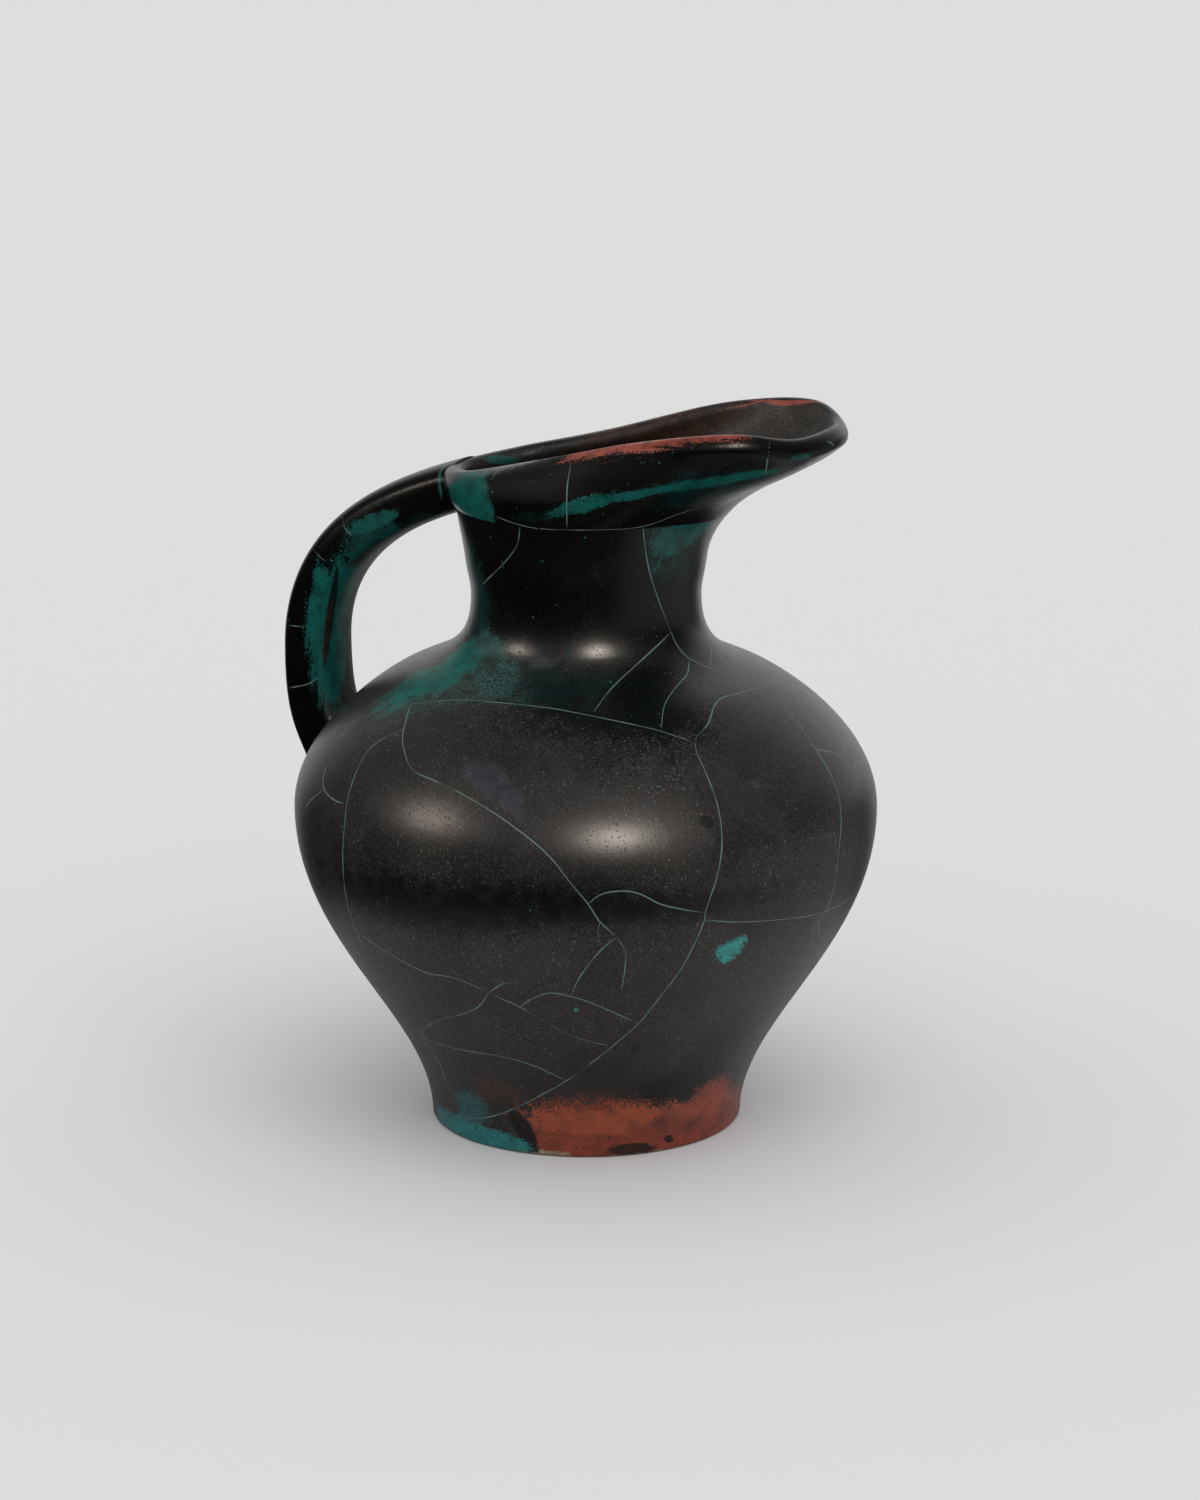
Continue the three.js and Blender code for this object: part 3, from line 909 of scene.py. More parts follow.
class BellyPatch(Enum):
    """The patches on the belly and its foot, each named for where it lies."""

    # Partly a real green-black mottle, partly a painted dark reflection of the floor across the girth.
    GIRTH_MOSS_AND_REFLECTION = Patch(Tone.MOSS, Pixel(326, 876), Pixel(636, 896), Pixel(462, 938), 0.95, 0.3, 0.6, soft=0.28)
    # Painted dark reflection: a near-black band across the girth, where the glaze mirrors a dark floor.
    GIRTH_DARK_REFLECTION = Patch(Tone.MOSS, Pixel(470, 890), Pixel(780, 890), Pixel(625, 924), 0.75, 0.3, 0.6, soft=0.3)
    FOOT_UMBER = Patch(Tone.UMBER, Pixel(470, 1075), Pixel(735, 1050), Pixel(610, 1010), 0.6, 0.9, 1.2)
    SHOULDER_MOSS = Patch(Tone.MOSS, Pixel(490, 700), Pixel(700, 742), Pixel(600, 752), 0.8, 0.7, 2)
    POOL_RIGHT = Patch(Tone.POOL, Pixel(530, 692), Pixel(716, 716), Pixel(638, 744), 1, 0.35, 0.8)
    POOL_LEFT = Patch(Tone.DEEP_TEAL, Pixel(490, 684), Pixel(612, 690), Pixel(545, 706), 0.9, 0.5, 1.6)
    ROOT_DUST = Patch(
        Tone.GREY_TEAL, Pixel(474, 640), Pixel(514, 706), Pixel(524, 666), 1, 0.35, 1.8, sprayed=0.8)
    LOW_DUST = Patch(
        Tone.GREY_TEAL, Pixel(366, 716), Pixel(506, 690), Pixel(440, 716), 0.8, 0.5, 2, sprayed=0.9)
    SHOULDER_DARK = Patch(Tone.DEEP_TEAL, Pixel(338, 710), Pixel(470, 664), Pixel(404, 698), 1, 0.3, 1)
    SHOULDER = Patch(Tone.SHOULDER_TEAL, Pixel(380, 707), Pixel(482, 650), Pixel(440, 690), 1, 0.3, 1.6)
    NECK_ROOT = Patch(Tone.SHOULDER_TEAL, Pixel(440, 672), Pixel(480, 640), Pixel(474, 668), 1, 0.3, 0.8)
    LEFT_SMUDGE = Patch(Tone.VIOLET, Pixel(466, 762), Pixel(512, 800), Pixel(498, 770), 0.9, 0.6, 1.2)
    LOW_SMUDGE = Patch(Tone.VIOLET, Pixel(494, 778), Pixel(522, 816), Pixel(517, 790), 0.9, 0.6, 1.2)
    SECOND_SMUDGE = Patch(Tone.VIOLET, Pixel(690, 760), Pixel(780, 830), Pixel(752, 784), 0.35, 0.8, 1.6)
    ROOT_VIOLET = Patch(Tone.VIOLET, Pixel(528, 664), Pixel(560, 662), Pixel(544, 657), 0.7, 0.6, 1.2)
    # Painted highlight: a warm rust tint laid where the left lamp's highlight falls on the belly.
    LAMP_HIGHLIGHT_TINT = Patch(Tone.RUST, Pixel(418, 806), Pixel(458, 834), Pixel(452, 812), 0.3, 0.8, 1.5)
    BLUE_SPOT = Patch(Tone.POOL, Pixel(700, 822), Pixel(714, 824), Pixel(707, 830), 0.8)
    PALE_STAIN = Patch(Tone.BEIGE, Pixel(752, 784), Pixel(768, 786), Pixel(760, 790), 0.3, 0.9, 2)
    TEAL_SPOT = Patch(Tone.SPOT_TEAL, Pixel(717, 960), Pixel(743, 940), Pixel(736, 957), 1, 0.6, 1.1)
    TEAL_DOT = Patch(Tone.SPOT_TEAL, Pixel(574, 1010), Pixel(578, 1010), Pixel(576, 1012), 0.6)
    FOOT_RUST = Patch(Tone.RUST, Pixel(476, 1088), Pixel(520, 1092), Pixel(498, 1104), 0.7, 0.7, 2.2)
    DARK_FLECK = Patch(Tone.BLACK, Pixel(631, 1048), Pixel(639, 1048), Pixel(635, 1051), 0.9)
    FOOT_SMEAR = Patch(Tone.BLACK, Pixel(636, 1094), Pixel(728, 1066), Pixel(678, 1106), 1, 0.4, 0.9, soft=0.1)
    SMEAR_TRAIL = Patch(Tone.BLACK, Pixel(690, 1092), Pixel(748, 1010), Pixel(731, 1062), 0.9, 0.3, 0.9, 1, soft=0.25)
    RED_LEFT = Patch(Tone.RED, Pixel(524, 1132), Pixel(660, 1126), Pixel(592, 1096), 1, 0.15, 1.1)
    RED_RIGHT = Patch(Tone.RED, Pixel(622, 1138), Pixel(746, 1112), Pixel(690, 1101), 1, 0.15, 1.1)
    RED_TIP = Patch(Tone.RED, Pixel(694, 1124), Pixel(726, 1078), Pixel(721, 1107), 1, 0.2, 1.3)
    RED_BASE = Patch(Tone.RED, Pixel(530, 1148), Pixel(744, 1128), Pixel(645, 1122), 1, 0.15, 0.3)
    ORANGE_LEFT = Patch(Tone.ORANGE, Pixel(526, 1116), Pixel(668, 1110), Pixel(597, 1140), 0.75, 0.6, 1.5)
    ORANGE_RIGHT = Patch(Tone.ORANGE, Pixel(640, 1112), Pixel(738, 1088), Pixel(694, 1120), 0.6, 0.6, 1.5)
    RED_SHADE = Patch(Tone.DARK_RED, Pixel(650, 1124), Pixel(704, 1122), Pixel(676, 1134), 0.35, 0.6, 2)
    RED_STREAK = Patch(Tone.DARK_RED, Pixel(556, 1134), Pixel(640, 1136), Pixel(598, 1141), 0.35, 0.5, 1.6, 1)
    RED_BLOT = Patch(Tone.BLACK, Pixel(664, 1138), Pixel(673, 1140), Pixel(668, 1143), 0.9, 0.5, 0.6)
    RIM_BLOT = Patch(Tone.BLACK, Pixel(606, 1150), Pixel(656, 1147), Pixel(634, 1143), 0.85, 0.3, 0.7)
    CLAY_FLAKE = Patch(Tone.CLAY, Pixel(520, 1151), Pixel(566, 1155), Pixel(543, 1150), 0.9, 0.5, 1)
    BARE_GAP = Patch(Tone.BLACK, Pixel(511, 1110), Pixel(536, 1154), Pixel(532, 1128), 0.95, 0.25, 0.6)
    TEAL_FADE = Patch(Tone.FOOT_TEAL, Pixel(466, 1092), Pixel(474, 1124), Pixel(487, 1108), 0.45, 0.4, 1.8)
    TEAL_LEFT = Patch(Tone.FOOT_TEAL, Pixel(436, 1112), Pixel(488, 1136), Pixel(464, 1116), 0.85, 0.15, 1, 0.5)
    TEAL_RIGHT = Patch(Tone.FOOT_TEAL, Pixel(452, 1126), Pixel(529, 1148), Pixel(490, 1128), 1, 0.12, 0.7, 0.5)


class NeckPatch(Enum):
    """The patches on the neck."""

    # Painted reflection: a thin teal line down the neck's left edge, where the teal shoulder mirrors in the glaze.
    LEFT_EDGE = Patch(Tone.COLLAR_TEAL, Pixel(461, 530), Pixel(476, 652), Pixel(471, 590), 0.3, 0.3, 1.8, depth=3 * MM)
    ROOT = Patch(Tone.GREY_TEAL, Pixel(474, 640), Pixel(505, 648), Pixel(490, 632), 0.8, 0.5, 2)
    SPOUT_SHADE = Patch(Tone.DEEP_TEAL, Pixel(646, 566), Pixel(722, 506), Pixel(700, 552), 0.9, 0.5, 1)
    UNDER_SPOUT = Patch(Tone.COLLAR_TEAL, Pixel(655, 556), Pixel(728, 504), Pixel(699, 537), 0.85, 0.5, 1.6, 0.6)
    MOSS_CLOUD = Patch(Tone.MOSS, Pixel(600, 535), Pixel(600, 625), Pixel(640, 580), 0.8, 0.8, 1.6)


class CollarPatch(Enum):
    """The patches on the collar and the lip."""

    MATT_BEND = Patch(
        Tone.BLACK, Pixel(484, 488), Pixel(672, 460), Pixel(581, 499), 0.9, 0.2, 0.3, matt=0.4)
    BAND_SHADE = Patch(Tone.DEEP_TEAL, Pixel(655, 498), Pixel(778, 476), Pixel(722, 499), 1, 0.3, 0.8, 0.5)
    BAND_TAIL = Patch(Tone.DEEP_TEAL, Pixel(515, 518), Pixel(575, 512), Pixel(545, 522), 0.7, 0.5, 1.5, 0.5)
    HANDLE_SIDE = Patch(Tone.COLLAR_TEAL, Pixel(456, 476), Pixel(494, 527), Pixel(493, 489), 1, 0.1, 0.4)
    BAND_LEFT = Patch(Tone.COLLAR_TEAL, Pixel(550, 515), Pixel(616, 495), Pixel(585, 512), 1, 0.35, 1, 0.6)
    BAND_MIDDLE = Patch(
        Tone.COLLAR_TEAL, Pixel(588, 502), Pixel(694, 482), Pixel(641, 498), 1, 0.35, 1, 0.6)
    BAND_RIGHT = Patch(
        Tone.COLLAR_TEAL, Pixel(664, 488), Pixel(778, 470), Pixel(722, 485), 0.9, 0.35, 1.2, 0.6)
    TIP_SMUDGE = Patch(Tone.COLLAR_TEAL, Pixel(790, 458), Pixel(810, 456), Pixel(800, 460), 0.7, 0.5, 1.2)
    INSIDE_LEFT = Patch(
        Tone.COLLAR_TEAL, Pixel(484, 459), Pixel(520, 460), Pixel(502, 464), 0.9, 0.4, 1.6, faces=-1)
    INSIDE_BEIGE = Patch(
        Tone.BEIGE, Pixel(590, 440), Pixel(860, 420), Pixel(720, 402), 0.22, 0.9, 1.5, faces=-1)
    NEAR_CREST_LEFT = Patch(
        Tone.CREST_RED, Pixel(566, 457), Pixel(690, 440), Pixel(624, 453), 1, 0.1, 0.6, 0.5, 5 * MM, faces=0)
    NEAR_CREST_RIGHT = Patch(
        Tone.CREST_RED, Pixel(640, 444), Pixel(748, 437), Pixel(692, 443), 1, 0.1, 0.6, 0.5, 5 * MM, faces=0)
    FAR_CREST_LEFT = Patch(
        Tone.CREST_RED, Pixel(694, 405), Pixel(772, 399), Pixel(735, 406), 0.9, 0.15, 0.8, 0.5, 5 * MM, faces=0)
    FAR_CREST_RIGHT = Patch(
        Tone.CREST_RED, Pixel(748, 400), Pixel(828, 404), Pixel(788, 406), 1, 0.15, 0.8, 0.5, 5 * MM, faces=0)
    FAR_LINE = Patch(
        Tone.RUST, Pixel(480, 453), Pixel(712, 404), Pixel(600, 432), 0.8, 0.3, 1, 0.4, 5 * MM, faces=0)
    FAR_BAND = Patch(Tone.COLLAR_TEAL, Around(52, 206 * MM), Around(98, 202 * MM), Around(74, 207 * MM),
                     0.9, 0.3, 0.9, 0.6)
    FAR_HANDLE_SIDE = Patch(Tone.COLLAR_TEAL, Around(150, 206 * MM), Around(132, 199 * MM),
                            Around(136, 205 * MM), 0.9, 0.2, 0.7)


class HandlePatch(Enum):
    """The patches on the handle."""

    MATT_TOP = Patch(Tone.BLACK, Pixel(318, 545), Pixel(446, 478), Pixel(366, 484), 0.6, 0.2, 0.3, matt=0.22)
    SHADE_TOP = Patch(Tone.DEEP_TEAL, Pixel(345, 560), Pixel(448, 511), Pixel(400, 540), 0.9, 0.3, 0.8)
    SHADE_LOW = Patch(Tone.DEEP_TEAL, Pixel(335, 560), Pixel(318, 690), Pixel(314, 622), 0.8, 0.4, 1.2, 0.6)
    TOP = Patch(Tone.COLLAR_TEAL, Pixel(348, 531), Pixel(398, 512), Pixel(376, 529), 0.9, 0.3, 1)
    JOINT = Patch(
        Tone.COLLAR_TEAL, Pixel(447, 464), Pixel(442, 498), Pixel(441, 480), 0.9, 0.2, 0.6, 0, 6 * MM, faces=0)
    UNDER_TOP = Patch(Tone.COLLAR_TEAL, Pixel(352, 562), Pixel(400, 528), Pixel(382, 550), 0.5, 0.4, 1)
    OUTER = Patch(
        Tone.COLLAR_TEAL, Pixel(322, 566), Pixel(315, 660), Pixel(307, 613), 1, 0.3, 1.2, 0.9, 9 * MM, faces=0)
    INNER = Patch(
        Tone.COLLAR_TEAL, Pixel(350, 562), Pixel(333, 708), Pixel(350, 636), 1, 0.1, 0.5, 0.5, 9 * MM, faces=0)
    RIDGE = Patch(
        Tone.POOL, Pixel(338, 566), Pixel(324, 668), Pixel(333.5, 617), 0.9, 0.1, 0.4, 0.4, 9 * MM, faces=0)
    RIDGE_CLAY = Patch(
        Tone.RUST, Pixel(332, 600), Pixel(325, 662), Pixel(329.5, 632), 0.6, 0.1, 0.5, 0, 9 * MM, faces=0)


@dataclass
class Glaze:
    """The glaze on one piece of the jug."""

    name: str
    patches: list[Patch]
    walls: "Skin"
    view: View
    piece: "Skin"
    folded: bool = False
    clay_top: float | None = None
    gloss: float = 0.5
    black_heights: tuple[float, float] = (146 * MM, 166 * MM)
    black_wander: float = 40 * MM
    margin: float = 0.75
    clay: Colour = (0.2, 0.14, 0.1)
    grain: Colour = (0.06, 0.053, 0.045)
    speck: Colour = (0.12, 0.115, 0.1)
    teal_speck: Colour = (0.03, 0.17, 0.15)

    def __post_init__(self) -> None:
        """Starts the sheet of nodes, with the places and noises that all patches share."""
        self.sheet = NodeSheet(self.name)
        self.place = self.sheet.node("ShaderNodeTexCoord", {}, {}).outputs["Object"]
        self.laid = self.fold(self.place) if self.folded else self.place
        self.clouds = self.sheet.noise(self.place, 26 * MM, 3)
        self.blots = self.sheet.noise(self.place, 5 * MM, 3)
        self.grains = self.sheet.noise(self.place, 0.8 * MM, 1)
        self.fine = self.sheet.noise(self.place, 0.42 * MM, 1)
        self.outside = self.facing()
        self.wander = self.blots * 2 - 1
        self.dust = self.grains + self.fine * 0.6 - 0.8
        self.mist = (self.grains + self.fine).ramp(0.96, 1.06)

    def facing(self) -> Signal:
        """How far the surface faces away from the jug's axis: 1 outside, 0 inside the jug."""
        flat = self.sheet.vector("MULTIPLY", {0: self.place, 1: (1, 1, 0)}).outputs[0]
        radial = self.sheet.vector("NORMALIZE", {0: flat}).outputs[0]
        normal = self.sheet.node("ShaderNodeNewGeometry", {}, {}).outputs["Normal"]
        turned = self.sheet.vector("DOT_PRODUCT", {0: normal, 1: radial}).outputs["Value"]
        return Signal(self.sheet, turned).ramp(-0.5, -0.3)

    def fold(self, place: bpy.types.NodeSocket) -> bpy.types.NodeSocket:
        """Folds the far half of the jug on the near one, so that the far side gets patches too."""
        towards = tuple(self.view.towards)
        near = Signal(self.sheet, self.sheet.vector("DOT_PRODUCT", {0: place, 1: towards}).outputs["Value"])
        back = (near & 0.0) * -2.0
        shift = self.sheet.vector("SCALE", {0: towards, "Scale": back}).outputs[0]
        return self.sheet.vector("ADD", {0: place, 1: shift}).outputs[0]

    def find(self, spot: Pixel | Around) -> tuple[Vector, Vector]:
        """The place on the jug's skin that a spot names or lies beside, and its outward normal."""
        if isinstance(spot, Pixel):
            origin, ray = Vector(self.view.place), self.view.ray(spot)
        else:
            turn = math.radians(spot.turn)
            ray = -Vector((math.cos(turn), math.sin(turn), 0))
            origin = UP * spot.height - ray
        beside = origin - ray * origin.dot(self.view.towards) / ray.dot(self.view.towards)
        place, normal = self.walls.along(origin, ray) or self.walls.nearest(beside)
        near = place.dot(self.view.towards)
        if self.folded and near < 0:
            place = place - 2 * near * self.view.towards
        return place, normal

    def mask(self, patch: Patch) -> Signal | None:
        """How far a patch covers each place of the surface, or None where it doesn't reach it."""
        start, first = self.find(patch.start)
        end, last = self.find(patch.end)
        side = self.find(patch.side)[0]
        middle = (start + end) / 2
        if self.piece.depth(middle) > (end - start).length * self.margin:
            return None
        along = (end - start).normalized()
        across = (first + last).cross(along).normalized()
        outward = along.cross(across)
        rotation = Matrix((along, across, outward)).transposed().to_euler()
        depth = patch.depth + 2 * self.walls.depth(middle)
        sizes = ((end - start).length / 2, abs((side - middle).dot(across)), depth)
        inputs = {"Vector": self.laid, "Location": middle, "Rotation": rotation, "Scale": sizes}
        own = self.sheet.node("ShaderNodeMapping", {"vector_type": "TEXTURE"}, inputs).outputs[0]
        reach = Signal(self.sheet, self.sheet.vector("LENGTH", {0: own}).outputs["Value"])
        reach = reach + self.wander * patch.ragged + self.dust * patch.dusty
        if patch.brushed:
            combed = self.sheet.vector("MULTIPLY", {0: own, 1: (0.5, 6, 0.5)}).outputs[0]
            reach = reach + (self.sheet.noise(combed, 1) - 0.5) * patch.brushed * 1.5
        share = reach.ramp(1.06 + patch.soft, 0.9 - patch.soft) * patch.strength
        if patch.sprayed:
            share = share * (self.mist * patch.sprayed + (1 - patch.sprayed))
        if patch.faces > 0:
            share = share * self.outside
        elif patch.faces < 0:
            share = share * (1 - self.outside)
        return share

    def build(self) -> bpy.types.Material:
        """Lays the base, the patches and the specks over each other.

        Returns:
            The finished material.
        """
        sheet, base = self.sheet, Tone.CHARCOAL.value
        height = Signal(sheet, sheet.node("ShaderNodeSeparateXYZ", {}, {0: self.place}).outputs["Z"])
        colour = sheet.blend(base.colour, base.broken, self.clouds.ramp(0.38, 0.66))
        haze = sheet.noise(self.place, 11 * MM, 4).ramp(0.5, 0.72)
        colour = sheet.blend(colour, Tone.VIOLET.value.colour, haze * 0.25)
        high = (height + (self.clouds - 0.5) * self.black_wander).ramp(*self.black_heights)
        colour = sheet.blend(colour, self.grain, (self.fine + self.grains).ramp(0.98, 1.3) * 0.5)
        specks = self.grains.ramp(0.69, 0.73) * self.clouds.ramp(0.4, 0.55)
        colour = sheet.blend(colour, self.speck, specks * 0.7)
        broken = self.blots.ramp(0.4, 0.7)
        black = sheet.blend(Tone.BLACK.value.colour, Tone.BLACK.value.broken, broken)
        colour = sheet.blend(colour, black, high * self.outside * 0.97)
        matt = None
        for share, patch in zip(map(self.mask, self.patches), self.patches):
            if share is None:
                continue
            finish = patch.tone.value
            colour = sheet.blend(colour, sheet.blend(finish.colour, finish.broken, broken), share)
            if patch.matt:
                matt = share * patch.matt
        teal_specks = sheet.noise(self.place, 1.3 * MM, 1).ramp(0.755, 0.78) * self.clouds.ramp(0.42, 0.5)
        colour = sheet.blend(colour, self.teal_speck, teal_specks * 0.8)
        pinholes = self.grains.ramp(0.35, 0.3)
        colour = sheet.blend(colour, Tone.BLACK.value.colour, pinholes * 0.85)
        roughness = 0.25 + self.blots * 0.06 + self.clouds * 0.06 + pinholes * 0.15 + self.fine * 0.06
        roughness = roughness - high * 0.05
        roughness = roughness + (1 - self.outside) * 0.2
        if matt:
            roughness = roughness + matt
        peel = sheet.noise(self.place, 3.5 * MM, 2) * 0.02
        relief = peel - pinholes * 0.012 + self.fine * 0.013
        if self.clay_top is not None:
            bare = (height + (self.blots - 0.5) * 4 * MM).ramp(self.clay_top + 0.2 * MM, self.clay_top)
            colour = sheet.blend(colour, self.clay, bare * 0.8)
            roughness = roughness + bare * 0.4
            relief = relief + self.grains * bare * 0.1
        bump = sheet.node("ShaderNodeBump", {}, {"Height": relief, "Strength": 1.0, "Distance": MM})
        inputs = {"Base Color": colour, "Roughness": roughness, "Normal": bump.outputs[0], "IOR": 1.5}
        inputs["Specular IOR Level"] = self.gloss
        shader = sheet.node("ShaderNodeBsdfPrincipled", {}, inputs)
        sheet.node("ShaderNodeOutputMaterial", {}, {"Surface": shader.outputs[0]})
        return sheet.material


# The crazing


class Craze(Enum):
    """The main craze lines, by the pixels of the picture that they pass."""

    SHOULDER_ARC = ((411, 704), (458, 700), (503, 703), (549, 708), (592, 716), (635, 725), (660, 731), (695, 743))
    BELLY_DIAGONAL = (
        (411, 704), (404, 728), (403, 745), (412, 769), (433, 780), (462, 794), (503, 819), (545, 852),
        (569, 881), (588, 904), (600, 922), (617, 937),
    )
    LEFT_LONG = (
        (404, 729), (379, 741), (365, 755), (354, 778), (347, 803), (343, 848), (344, 881), (348, 906),
        (358, 935), (369, 960), (387, 991), (408, 1017), (423, 1038), (439, 1063), (447, 1084), (454, 1102),
    )
    LEFT_HOOK = ((365, 707), (342, 736), (327, 765), (323, 782), (327, 794), (338, 802), (346, 803))
    LEFT_EDGE = ((323, 790), (311, 800), (303, 812))
    MIDDLE_ARC = ((588, 904), (602, 894), (623, 891), (640, 894), (660, 904), (681, 909), (705, 913))
    RIGHT_LONG = (
        (695, 743), (697, 753), (708, 778), (718, 807), (722, 840), (718, 873), (706, 910), (704, 922),
        (693, 947), (679, 972), (660, 997), (640, 1022), (615, 1044), (586, 1067), (561, 1084), (528, 1102),
        (503, 1113), (483, 1118), (462, 1118),
    )
    RIGHT_LEVEL = ((705, 920), (735, 922), (776, 920), (813, 915), (838, 906), (856, 893))
    NECK_FALL = (
        (643, 528), (647, 560), (655, 590), (671, 632), (677, 645), (689, 658), (710, 668), (739, 677),
        (762, 686), (784, 705), (813, 745), (834, 782), (841, 815), (838, 856), (830, 902), (815, 927),
        (809, 955), (812, 967), (817, 960), (819, 914),
    )
    RIGHT_LOOP = ((762, 686), (743, 692), (722, 698), (714, 707), (708, 724), (697, 736), (695, 743))
    RIGHT_SPUR = ((762, 686), (784, 682), (805, 685))
    NECK_LEFT_BRANCH = ((671, 632), (658, 645), (635, 666), (611, 689), (592, 714))
    NECK_RIGHT_BRANCH = ((689, 660), (687, 674), (673, 691), (664, 707), (661, 731))
    CENTRE_TICK = ((600, 922), (598, 931), (599, 941), (602, 946))
    CENTRE_LEFT = ((617, 937), (602, 949), (586, 968), (576, 984), (571, 997))
    CENTRE_RIGHT = ((617, 937), (625, 951), (625, 968), (621, 993))
    LOWER_LEFT = ((361, 935), (379, 947), (404, 962), (427, 973), (454, 978), (489, 992))
    LOWER_BRANCH = ((489, 992), (503, 984), (520, 982))
    LOWER_LOOP = (
        (489, 992), (480, 1005), (466, 1013), (439, 1020), (425, 1028), (423, 1036), (433, 1042),
        (462, 1050), (499, 1056), (532, 1065), (567, 1081),
    )
    LOWER_LONG = ((493, 995), (520, 1007), (545, 1022), (578, 1038), (611, 1046))
    LOWER_ARC = ((520, 1007), (532, 999), (549, 993), (569, 996), (594, 1004), (635, 1022))
    RIGHT_SHORT = ((815, 749), (838, 755), (857, 776))
    ROOT_LEFT = ((712, 645), (710, 668))
    ROOT_RIGHT = ((724, 654), (735, 668))
    FOLD = ((497, 517), (520, 525), (545, 529), (590, 530), (640, 527), (679, 514), (735, 496), (755, 492))
    NECK_LEFT = ((520, 527), (517, 545), (505, 562), (490, 577), (480, 587))
    COLLAR_LEFT = ((571, 463), (567, 490), (567, 530))
    COLLAR_RIGHT = ((770, 441), (766, 470), (764, 477))
    LIP_LEFT = ((502, 467), (495, 474), (490, 482))
    LIP_TIP = ((826, 441), (833, 444), (834, 450))
    HANDLE_TOP = ((342, 515), (345, 528), (354, 538))
    HANDLE_UPPER = ((311, 547), (320, 557), (327, 562))
    HANDLE_MIDDLE = ((285, 625), (307, 627))
    HANDLE_LOWER = ((289, 688), (308, 684), (320, 676))


@dataclass
class Crazing:
    """Pale hairlines in the glaze, as thin ribbons that lie in the skin."""

    view: View
    skin: "Skin"
    walls: "Skin"
    width: float = 0.34 * MM
    proud: float = 0.02 * MM
    buried: float = 0.2 * MM
    pixel_step: float = 3
    step: float = 1.2 * MM
    jump: float = 30 * MM
    fewest: int = 4
    line: Colour = (0.1, 0.17, 0.15)
    faded: Colour = (0.02, 0.034, 0.03)

    def build(self) -> bpy.types.Object:
        """Lays every line on the near side, and its like on the far side.

        Returns:
            All lines as one piece.
        """
        ribbons = []
        for craze in Craze:
            near = self.cast(craze.value)
            if len(near) < self.fewest:
                LOG.info("%s lies off the jug", craze.name)
                continue
            ribbons.append(self.ribbon(f"craze_{len(ribbons)}", near, self.skin))
            if "HANDLE" not in craze.name:
                far = [self.mirrored(place) for place in near]
                ribbons.append(self.ribbon(f"craze_{len(ribbons)}", far, self.walls))
        deselect_all()
        for ribbon in ribbons:
            ribbon.select_set(True)
        bpy.context.view_layer.objects.active = ribbons[0]
        bpy.ops.object.join()
        ribbons[0].name = "craze_lines"
        ribbons[0].data.materials.append(self.material())
        return ribbons[0]

    def cast(self, pixels: tuple[tuple[float, float], ...]) -> list[Vector]:
        """The places on the skin along a smooth line through some pixels."""
        knots = [Vector((*pixel, 0)) for pixel in pixels]
        knots = [2 * knots[0] - knots[1], *knots, 2 * knots[-1] - knots[-2]]
        places = []
        for before, here, there, after in zip(knots, knots[1:], knots[2:], knots[3:]):
            steps = max(2, math.ceil((there - here).length / self.pixel_step))
            leave, reach = here + (there - before) / 6, there - (after - here) / 6
            for point in interpolate_bezier(here, leave, reach, there, steps + 1)[:-1]:
                ray = self.view.ray(Pixel(point.x, point.y))
                places.append(self.skin.along(Vector(self.view.place), ray))
        kept = []
        for place, _ in filter(None, places):
            if kept and (place - kept[-1]).length > self.jump:
                break
            kept.append(place)
        return kept

    def mirrored(self, place: Vector) -> Vector:
        """The like of a place on the far side of the jug, a little up or down."""
        near = place.dot(self.view.towards)
        far = place - 2 * near * self.view.towards
        far.z += 0.12 * near * math.sin(place.z / (23 * MM))
        return self.walls.nearest(far)[0]

    def ribbon(self, name: str, line: list[Vector], skin: "Skin") -> bpy.types.Object:
        """One line, as a low strip that follows the skin and thins out at its ends."""
        places = [skin.nearest(point) for point in spaced(line, self.step, seams=False)]
        rings = []
        for i, (place, normal) in enumerate(places):
            along = places[min(i + 1, len(places) - 1)][0] - places[max(i - 1, 0)][0]
            side = along.cross(normal).normalized()
            ends = min(1, 0.35 + 0.25 * min(i, len(places) - 1 - i))
            breadth = self.width * ends * (1 + 0.3 * math.sin(place.x / (3 * MM) + place.z / (2 * MM)))
            top, low = place + normal * self.proud, place - normal * self.buried
            half = side * breadth / 2
            rings.append([top - half, top + half, low + half, low - half])
        return raised(name, rings, looped=False)

    def material(self) -> bpy.types.Material:
        """Pale grey-green that fades in and out along the lines."""
        sheet = NodeSheet("craze line")
        place = sheet.node("ShaderNodeTexCoord", {}, {}).outputs["Object"]
        colour = sheet.blend(self.faded, self.line, sheet.noise(place, 12 * MM, 3).ramp(0.28, 0.52))
        roughness = sheet.noise(place, 2 * MM) * 0.2 + 0.45
        shader = sheet.node("ShaderNodeBsdfPrincipled", {}, {"Base Color": colour, "Roughness": roughness})
        sheet.node("ShaderNodeOutputMaterial", {}, {"Surface": shader.outputs[0]})
        return sheet.material


# The studio


@dataclass(frozen=True)
class Lamp:
    """A distant round lamp.

    Its turn is its direction round the jug from the spout and its rise its height above the
    floor, in degrees; strength is the light that it throws square on a surface, and spread its
    apparent width in degrees. A mirrored lamp shows in the gloss alone, and another one lights
    alone.
    """

    turn: float
    rise: float
    strength: float
    spread: float
    mirrored: bool


